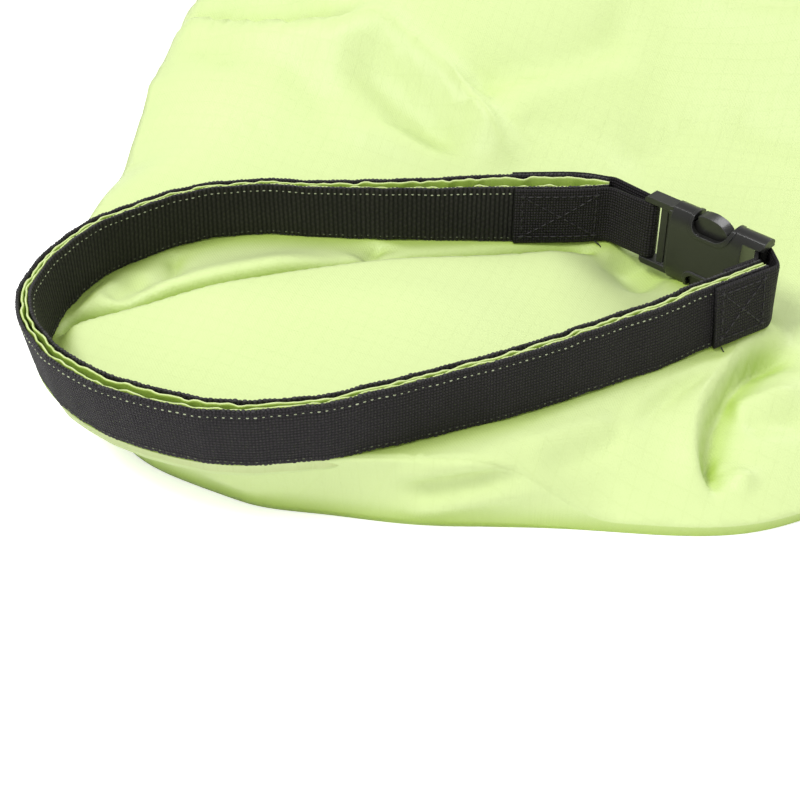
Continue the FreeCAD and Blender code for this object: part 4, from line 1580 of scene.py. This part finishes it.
# ------------------------------------------------------------------ the webbing band
@dataclass
class MouthBand:
    """Two webbings and two hems round the mouth, with their stitching."""

    mouth: MouthLine
    finishes: Finishes
    web_thick: float = 1.3
    hem_thick: float = 0.7
    sewn_gap: float = 0.15
    hem_drop: float = 0.5
    hem_foot: float = 4.0
    row_inset: float = 2.2
    foot_inset: float = 1.3
    stitch: Bead = Bead(pitch=2.1, length=0.85, width=0.46, thick=0.34, jitter=0.25)
    picot: Bead = Bead(pitch=1.3, length=1.25, width=0.95, thick=0.7, jitter=0.3)
    step: float = 1.5
    picot_depth: float = 0.10
    row_sink: float = 0.12
    outer_skip: float = 23.0
    inner_skip: float = 14.0
    end_skip: float = 32.5

    def face(self) -> float:
        """Distance of a webbing's outer face from the slit's side."""
        return self.hem_thick + self.sewn_gap + self.web_thick

    def webbing(self, name: str, side: int, material: bpy.types.Material) -> bpy.types.Object:
        """One webbing, a woven strip on edge with thinner sewn rows.

        Args:
            name: its name.
            side: 1 outside the loop, -1 inside it.
            material: its finish.

        Returns:
            The piece.
        """
        s = np.linspace(0, self.mouth.length, int(self.mouth.length / self.step))
        half, width = self.web_thick / 2, self.mouth.width
        rise = np.array([0.35, 1.2, self.row_inset, 3.2, 5.5, 8.0, 10.5, 13.0, 15.5, 17.0,
                         width - self.row_inset, width - 1.2, width - 0.35])
        near_row = np.minimum(np.abs(rise - self.row_inset), np.abs(rise - width + self.row_inset))
        thin = half - 0.16 * np.exp(-(near_row / 0.8) ** 2)
        thin[[0, -1]] = half * 0.72
        heights, depths = woven_section(rise, thin, width, half)
        middle = self.hem_thick + self.sewn_gap + half
        lines = []
        for t, z in zip(depths, heights):
            edge = self.picot_depth * np.sin(2 * math.pi * s / self.picot.pitch) * (z in (0.0, width))
            lines.append(self.mouth.beside(s, side, middle + t, z + edge))
        return strip_object(name, lines, s, heights, material)

    def hem(self, name: str, side: int) -> bpy.types.Object:
        """One folded hem, which waves between the webbings and shows as a pale line.

        Args:
            name: its name.
            side: 1 outside the loop, -1 inside it.

        Returns:
            The piece.
        """
        s = np.linspace(0, self.mouth.length, int(self.mouth.length / 1.2))
        top = self.mouth.width - self.hem_drop
        rise = np.array([-self.hem_foot, 4.0, 11.0, 15.0, 17.5, 18.9, top - 0.15])
        half = self.hem_thick / 2
        heights = np.concatenate((rise, (top + 0.1, top + 0.1), rise[::-1]))
        depths = np.concatenate((np.full(len(rise), half), (half * 0.5, -half * 0.5),
                                 np.full(len(rise), -half)))
        seed = 20 + side
        free = smoothstep(s / 12) * smoothstep((self.mouth.length - s) / 10)
        sway = (0.17 + 0.13 * self.mouth.gap(s)) * (
            waves(s, seed, 19.0, 4) + 0.9 * waves(s, seed + 5, 8.0, 2))
        lines = []
        for t, z in zip(depths, heights):
            loose = smoothstep((z - 12) / 8) * free
            lean_in = np.maximum(0.06 + sway, -0.12) * loose
            lift = 0.30 * waves(s, seed + 9, 11.0, 3) * loose
            lines.append(self.mouth.beside(s, side, half + t - lean_in, z + lift))
        return strip_object(name, lines, s, heights, self.finishes.hem)

    def row(self, side: int, rise: float, start: float, end: float, proud: float = 0.0,
            ) -> np.ndarray:
        """A line on a webbing's outer face.

        Args:
            side: 1 outside the loop, -1 inside it.
            rise: height above the webbing's lower edge.
            start: distance along the mouth where it starts.
            end: and ends.
            proud: how far it stands off the face.

        Returns:
            The line's points.
        """
        s = np.linspace(start, end, max(2, int(abs(end - start) / 2)))
        return self.mouth.beside(s, side, self.face() - self.row_sink + proud, rise)

    def build(self) -> dict[str, bpy.types.Object]:
        """All the band's pieces, by name.

        Returns:
            The pieces.
        """
        end = self.mouth.length
        top = self.mouth.width - self.row_inset
        made = {
            "outer_web": self.webbing("outer_web", 1, self.finishes.webbing),
            "inner_web": self.webbing("inner_web", -1, self.finishes.webbing_back),
            "outer_hem_fold": self.hem("outer_hem_fold", 1),
            "inner_hem_fold": self.hem("inner_hem_fold", -1),
        }
        for name, side, skip in (("outer", 1, self.outer_skip), ("inner", -1, self.inner_skip)):
            upper = self.row(side, top, skip, end - self.end_skip)
            made[name + "_stitches"] = row_of_beads(
                name + "_stitches", [upper], self.stitch, self.finishes.green_thread, SEED + side)
            lower = self.row(side, self.foot_inset, skip, end - self.end_skip, -0.08)
            made[name + "_foot_stitches"] = row_of_beads(
                name + "_foot_stitches", [lower], self.stitch, self.finishes.dark_thread,
                SEED + 6 + side)
            s = np.linspace(1.0, end - 1.0, 240)
            edges = [self.mouth.beside(s, side, self.face() - self.web_thick / 2, rise)
                     for rise in (0.1, self.mouth.width - 0.1)]
            made[name + "_selvage"] = row_of_beads(
                name + "_selvage", edges, self.picot, self.finishes.black_thread, SEED + 3 + side)
        return made


# ------------------------------------------------------------------ the webbing tabs
@dataclass
class BuckleTabs:
    """The two webbing tabs that carry the buckle, with their box stitching."""

    mouth: MouthLine
    band: MouthBand
    finishes: Finishes
    start: tuple[float, float] = (79.6, 50.7)
    turn: float = -44.4
    thick: float = 1.3
    bar_radius: float = 1.25
    run: float = 0.3
    male_bar: float = 1.65
    female_bar: float = 43.3
    front_patch: float = 22.0
    inner_patch: float = 13.0
    rear_patch: float = 31.0
    fold: tuple[float, float] = (113.4, 11.2)
    box_inset: float = 2.6
    stitch: Bead = Bead(pitch=2.6, length=2.2, width=0.6, thick=0.45)
    strand: Bead = Bead(pitch=0.35, length=0.75, width=0.42, thick=0.42, jitter=0.05)

    def point(self, s: float, w: float) -> np.ndarray:
        """A plan point at s along the buckle and w across its thickness.

        Args:
            s: distance along it.
            w: distance across.

        Returns:
            The point.
        """
        a = math.radians(self.turn)
        along = np.array((math.cos(a), math.sin(a)))
        return np.array(self.start) + along * s + np.array((-along[1], along[0])) * w

    def wrap(self, bar: float, came: np.ndarray, going: np.ndarray, steps: int = 14) -> np.ndarray:
        """Plan points round a bar, anticlockwise, tangent to the runs on both sides.

        Args:
            bar: place of the bar along the buckle.
            came: where the run before it starts.
            going: where the run after it ends.
            steps: number of pieces of the turn.

        Returns:
            The points.
        """
        centre = self.point(bar, 0)
        radius = self.bar_radius + self.run + self.thick / 2
        angles = []
        for sign, p in ((1, came), (-1, going)):
            away = p - centre
            angles.append(math.atan2(away[1], away[0])
                          + sign * math.acos(radius / np.linalg.norm(away)))
        first, last = angles
        last += 2 * math.pi * math.ceil((first - last) / (2 * math.pi))
        a = np.linspace(first, last, steps + 1)
        return centre + np.stack((np.cos(a), np.sin(a)), axis=1) * radius

    @staticmethod
    def eased(points: np.ndarray, step: float = 1.0, passes: int = 3) -> np.ndarray:
        """A line resampled evenly and rounded at its corners.

        Args:
            points: the line.
            step: distance between the new points.
            passes: how often corners are rounded.

        Returns:
            The new line.
        """
        for _ in range(2):
            lengths = np.linalg.norm(np.diff(points, axis=0), axis=1)
            runs = np.concatenate(((0.0,), np.cumsum(lengths)))
            s = np.linspace(0, runs[-1], int(runs[-1] / step) + 2)
            points = np.stack([np.interp(s, runs, points[:, k]) for k in range(points.shape[1])],
                              axis=1)
            for _ in range(passes):
                points[1:-1] = (points[:-2] + 2 * points[1:-1] + points[2:]) / 4
        return points

    def offset(self) -> float:
        """Distance of a tab's middle from the slit's side, on the webbing's face."""
        return self.band.face() + self.thick / 2 + 0.15

    def leg(self, s0: float, s1: float, side: int, rise: float) -> np.ndarray:
        """Plan points of a leg on the band's face.

        Args:
            s0: where it starts along the mouth.
            s1: where it ends.
            side: 1 outside the loop, -1 inside it.
            rise: height above the webbing's lower edge.

        Returns:
            The points.
        """
        return self.mouth.beside(np.linspace(s0, s1, 12), side, self.offset(), rise)[:, :2]

    def paths(self, female: bool) -> list[np.ndarray]:
        """Plan lines of one tab at its lower and upper edge.

        Args:
            female: whether it is the tab that carries the female half.

        Returns:
            The lower and the upper line, with as many points each.
        """
        end = self.mouth.length
        made = []
        for rise in (0.0, self.mouth.width):
            if female:
                outer = self.leg(self.front_patch, 0.0, 1, rise)
                inner = self.leg(0.0, self.inner_patch, -1, rise)
                fold = np.array(self.fold)
                turn = self.wrap(self.female_bar, fold, inner[0])
                line = np.vstack((outer, fold, turn, inner))
            else:
                inner = self.leg(end - self.rear_patch, end, -1, rise)
                outer = self.leg(end, end - self.rear_patch, 1, rise)
                past_in, past_out = inner[-1] + (1.5, -0.6), outer[0] + (1.5, 0.2)
                turn = self.wrap(self.male_bar, past_in, past_out)
                line = np.vstack((inner, past_in, turn, past_out, outer))
            made.append(self.eased(line, 0.8, 2))
        count = min(len(made[0]), len(made[1]))
        return [line[np.linspace(0, len(line) - 1, count).round().astype(int)] for line in made]

    def strap(self, name: str, female: bool, material: bpy.types.Material) -> bpy.types.Object:
        """One tab.

        Args:
            name: its name.
            female: whether it carries the female half.
            material: its finish.

        Returns:
            The piece.
        """
        low, high = self.paths(female)
        width, half = self.mouth.width, self.thick / 2
        rise = np.array([0.35, 1.2, 3.0, 6.0, 10.0, 14.0, 17.0, 18.8, width - 0.35])
        depth = np.full(len(rise), half)
        depth[[0, -1]] = half * 0.7
        heights, depths = woven_section(rise, depth, width, half)
        lines = []
        for t, z in zip(depths, heights):
            line = low + (high - low) * (z / width)
            way = np.gradient(line, axis=0)
            way /= np.linalg.norm(way, axis=1, keepdims=True)
            xy = line + np.stack((-way[:, 1], way[:, 0]), axis=1) * t
            lines.append(np.column_stack((xy, np.full(len(xy), self.mouth.bottom + z))))
        runs = np.concatenate(((0.0,), np.cumsum(np.linalg.norm(np.diff(low, axis=0), axis=1))))
        return strip_object(name, lines, runs, heights, material)

    def box_lines(self, side: int, start: float, end: float) -> list[np.ndarray]:
        """A stitched box with a cross, on one patch.

        Args:
            side: 1 outside the loop, -1 inside it.
            start: where the patch starts along the mouth.
            end: and ends.

        Returns:
            Lines on the patch.
        """
        a, b = start + self.box_inset, end - self.box_inset
        low, high = self.box_inset, self.mouth.width - self.box_inset
        corners = [(a, low), (b, low), (b, high), (a, high), (a, low)]
        pairs = list(zip(corners, corners[1:])) + [(corners[0], corners[2]),
                                                   (corners[1], corners[3])]
        lines = []
        for (s0, z0), (s1, z1) in pairs:
            s, z = np.linspace(s0, s1, 10), np.linspace(z0, z1, 10)
            lines.append(self.mouth.beside(s, side, self.offset() + self.thick / 2 + 0.02, z))
        return lines

    def build(self) -> dict[str, bpy.types.Object]:
        """Both tabs and their stitching, by name.

        Returns:
            The pieces.
        """
        end = self.mouth.length
        made = {
            "male_strap": self.strap("male_strap", False, self.finishes.webbing),
            "female_strap": self.strap("female_strap", True, self.finishes.webbing),
        }
        front = self.box_lines(1, 0.5, self.front_patch)
        rear = self.box_lines(-1, end - self.rear_patch, end - 1.0)
        rear += self.box_lines(1, end - self.rear_patch, end - 1.0)
        for name, lines in (("front_box_stitch", front), ("rear_box_stitch", rear)):
            made[name] = row_of_beads(name, lines, self.stitch, self.finishes.black_thread)
        made["front_thread_end"] = self.thread_end(
            "front_thread_end", self.front_patch - 2.5, 1, -0.2, (0.6, -2.2, -5.0))
        made["rear_thread_ends"] = self.thread_end(
            "rear_thread_ends", end - 3.0, -1, 0.2, (1.6, -1.0, -2.6))
        return made

    def thread_end(self, name: str, s: float, side: int, rise: float,
                   reach: tuple[float, float, float]) -> bpy.types.Object:
        """A short loose end of sewing thread that hangs off a patch.

        Args:
            name: its name.
            s: where it leaves, along the mouth.
            side: 1 outside the loop, -1 inside it.
            rise: height above the webbing's lower edge.
            reach: where its tip lies from there.

        Returns:
            The piece.
        """
        root = self.mouth.beside(s, side, self.offset() + self.thick / 2 + 0.2, rise)
        t = np.linspace(0, 1, 12)[:, None]
        bow = np.sin(math.pi * t) * np.array((0.9, -0.4, 0.0))
        line = root + t * np.array(reach) + bow
        return row_of_beads(name, [line], self.strand, self.finishes.black_thread)


# ------------------------------------------------------------------ the setting
@dataclass
class Studio:
    """Pale floor, soft light and the camera."""

    camera_place: tuple[float, float, float] = (-0.134, -0.610, 0.290)
    tilt: float = 37.0
    lens: float = 69.2
    ambient: float = 0.50

    def build(self) -> None:
        """Lay the floor and set the light and the camera."""
        scene = bpy.context.scene
        scene.view_settings.view_transform = "Standard"
        self.floor()
        self.world(scene, self.ambient)
        self.lamp("key_light", (-0.60, -0.45, 0.95), (-0.05, -0.05, 0.0), 0.35, 9.0)
        self.lamp("back_light", (0.7, 0.6, 0.9), (0.05, 0.0, 0.05), 0.6, 7.5)
        self.lamp("front_fill", (-0.05, -1.25, 0.55), (-0.1, -0.2, 0.0), 1.0, 4.0)
        data = bpy.data.cameras.new("camera")
        data.lens = self.lens
        data.sensor_width = 36.0
        data.clip_start, data.clip_end = 0.01, 20.0
        camera = linked("camera", data)
        camera.location = self.camera_place
        camera.rotation_euler = Euler((math.radians(90 - self.tilt), 0, 0))
        scene.camera = camera

    @staticmethod
    def lamp(name: str, place: tuple[float, float, float], target: tuple[float, float, float],
             size: float, power: float) -> None:
        """A soft square lamp.

        Args:
            name: its name.
            place: where it hangs.
            target: what it points at.
            size: its side.
            power: watts.
        """
        data = bpy.data.lights.new(name, "AREA")
        data.size, data.energy = size, power
        lamp = linked(name, data)
        lamp.location = place
        lamp.rotation_euler = (Vector(target) - Vector(place)).to_track_quat("-Z", "Y").to_euler()

    @staticmethod
    def world(scene: bpy.types.Scene, ambient: float) -> None:
        """Even pale surroundings of this strength, white to the camera.

        Args:
            scene: the scene.
            ambient: the strength.
        """
        world = bpy.data.worlds.new("studio")
        world.use_nodes = True
        g = Graph(world.node_tree)
        back = world.node_tree.nodes["Background"]
        path = g.add("ShaderNodeLightPath")
        seen = g.math("MAXIMUM", path.outputs["Is Camera Ray"], path.outputs["Is Transmission Ray"])
        g.tree.links.new(g.math("ADD", ambient, g.math("MULTIPLY", seen, 1.0 - ambient)),
                         back.inputs["Strength"])
        back.inputs["Color"].default_value = (1.0, 1.0, 1.0, 1.0)
        scene.world = world

    @staticmethod
    def floor() -> None:
        """The white table."""
        size, top = 6.0, -0.0003
        corners = [(x * size, y * size, top) for x, y in ((-1, -1), (1, -1), (1, 1), (-1, 1))]
        mesh = bpy.data.meshes.new("table_top")
        mesh.from_pydata(corners, [], [(0, 1, 2, 3)])
        table = linked("table_top", mesh)
        made = bpy.data.materials.new("table_top")
        made.use_nodes = True
        g = Graph(made.node_tree)
        surface = made.node_tree.nodes["Principled BSDF"]
        surface.inputs["Base Color"].default_value = (0.92, 0.92, 0.92, 1.0)
        surface.inputs["Roughness"].default_value = 0.8
        surface.inputs["Specular IOR Level"].default_value = 0.1
        glow = g.add("ShaderNodeEmission", {"Color": (1.0, 1.0, 1.0, 1.0)})
        path = g.add("ShaderNodeLightPath")
        g.tree.links.new(g.math("MULTIPLY", path.outputs["Is Camera Ray"], 0.5),
                         glow.inputs["Strength"])
        both = g.add("ShaderNodeAddShader", {"0": surface.outputs[0], "1": glow.outputs[0]})
        output = made.node_tree.nodes["Material Output"]
        g.tree.links.new(both.outputs[0], output.inputs["Surface"])
        mesh.materials.append(made)


# ------------------------------------------------------------------ putting it together
def bend_with_corner(piece: bpy.types.Object) -> None:
    """Free a piece from its parent and bake its placement into its mesh.

    Args:
        piece: the piece.
    """
    piece.parent = None
    to_part((62.0, -7.0, 36.0))
    to_part((104.0, -11.7, 36.0))
    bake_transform(piece)


def main() -> None:
    """Build and dress every piece."""
    logging.basicConfig(level=logging.INFO, format="%(name)s: %(message)s")
    finishes = Finishes()
    low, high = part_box("outer_webbing")
    mouth = MouthLine(bottom=low.z / MM, width=(high.z - low.z) / MM)
    LOG.info("mouth line %.0f mm", mouth.length)
    body = SackBody(mouth)
    whole = body.build(finishes.ripstop)
    Settling().run(whole)
    cloth = FabricCuts(whole, finishes, body.axis_turn, body.base_plane).build()
    bpy.data.objects.remove(whole)
    solids = {"fabric_body": "body_fabric", "base_cloth": "base_panel",
              "base_tape": "base_binding", "side_tape": "side_seam"}
    for name, piece in cloth.items():
        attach(piece, "sack")
        if name in solids:
            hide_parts(solids[name])
        LOG.info("%s: %d faces", name, len(piece.data.polygons))
    band = MouthBand(mouth, finishes)
    stands_for = {"outer_web": "outer_webbing", "inner_web": "inner_webbing",
                  "outer_hem_fold": "outer_hem", "inner_hem_fold": "inner_hem",
                  "male_strap": "male_tab", "female_strap": "female_tab"}
    pieces = band.build()
    tabs = BuckleTabs(mouth, band, finishes)
    pieces.update(tabs.build())
    for name, piece in pieces.items():
        if name in ("male_strap", "rear_box_stitch", "rear_thread_ends"):
            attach(piece, "sack")
        else:
            bend_with_corner(piece)
        if name in stands_for:
            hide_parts(stands_for[name])
        "hem" if "hem" in name else "webbing"
        LOG.info("%s: %d faces", name, len(piece.data.polygons))
    for node in ("buckle_female", "buckle_male", "latch_arm_upper", "latch_arm_lower"):
        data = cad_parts[node].data
        data.materials.clear()
        data.materials.append(finishes.acetal)
    Studio().build()


if __name__ == "__main__":
    main()
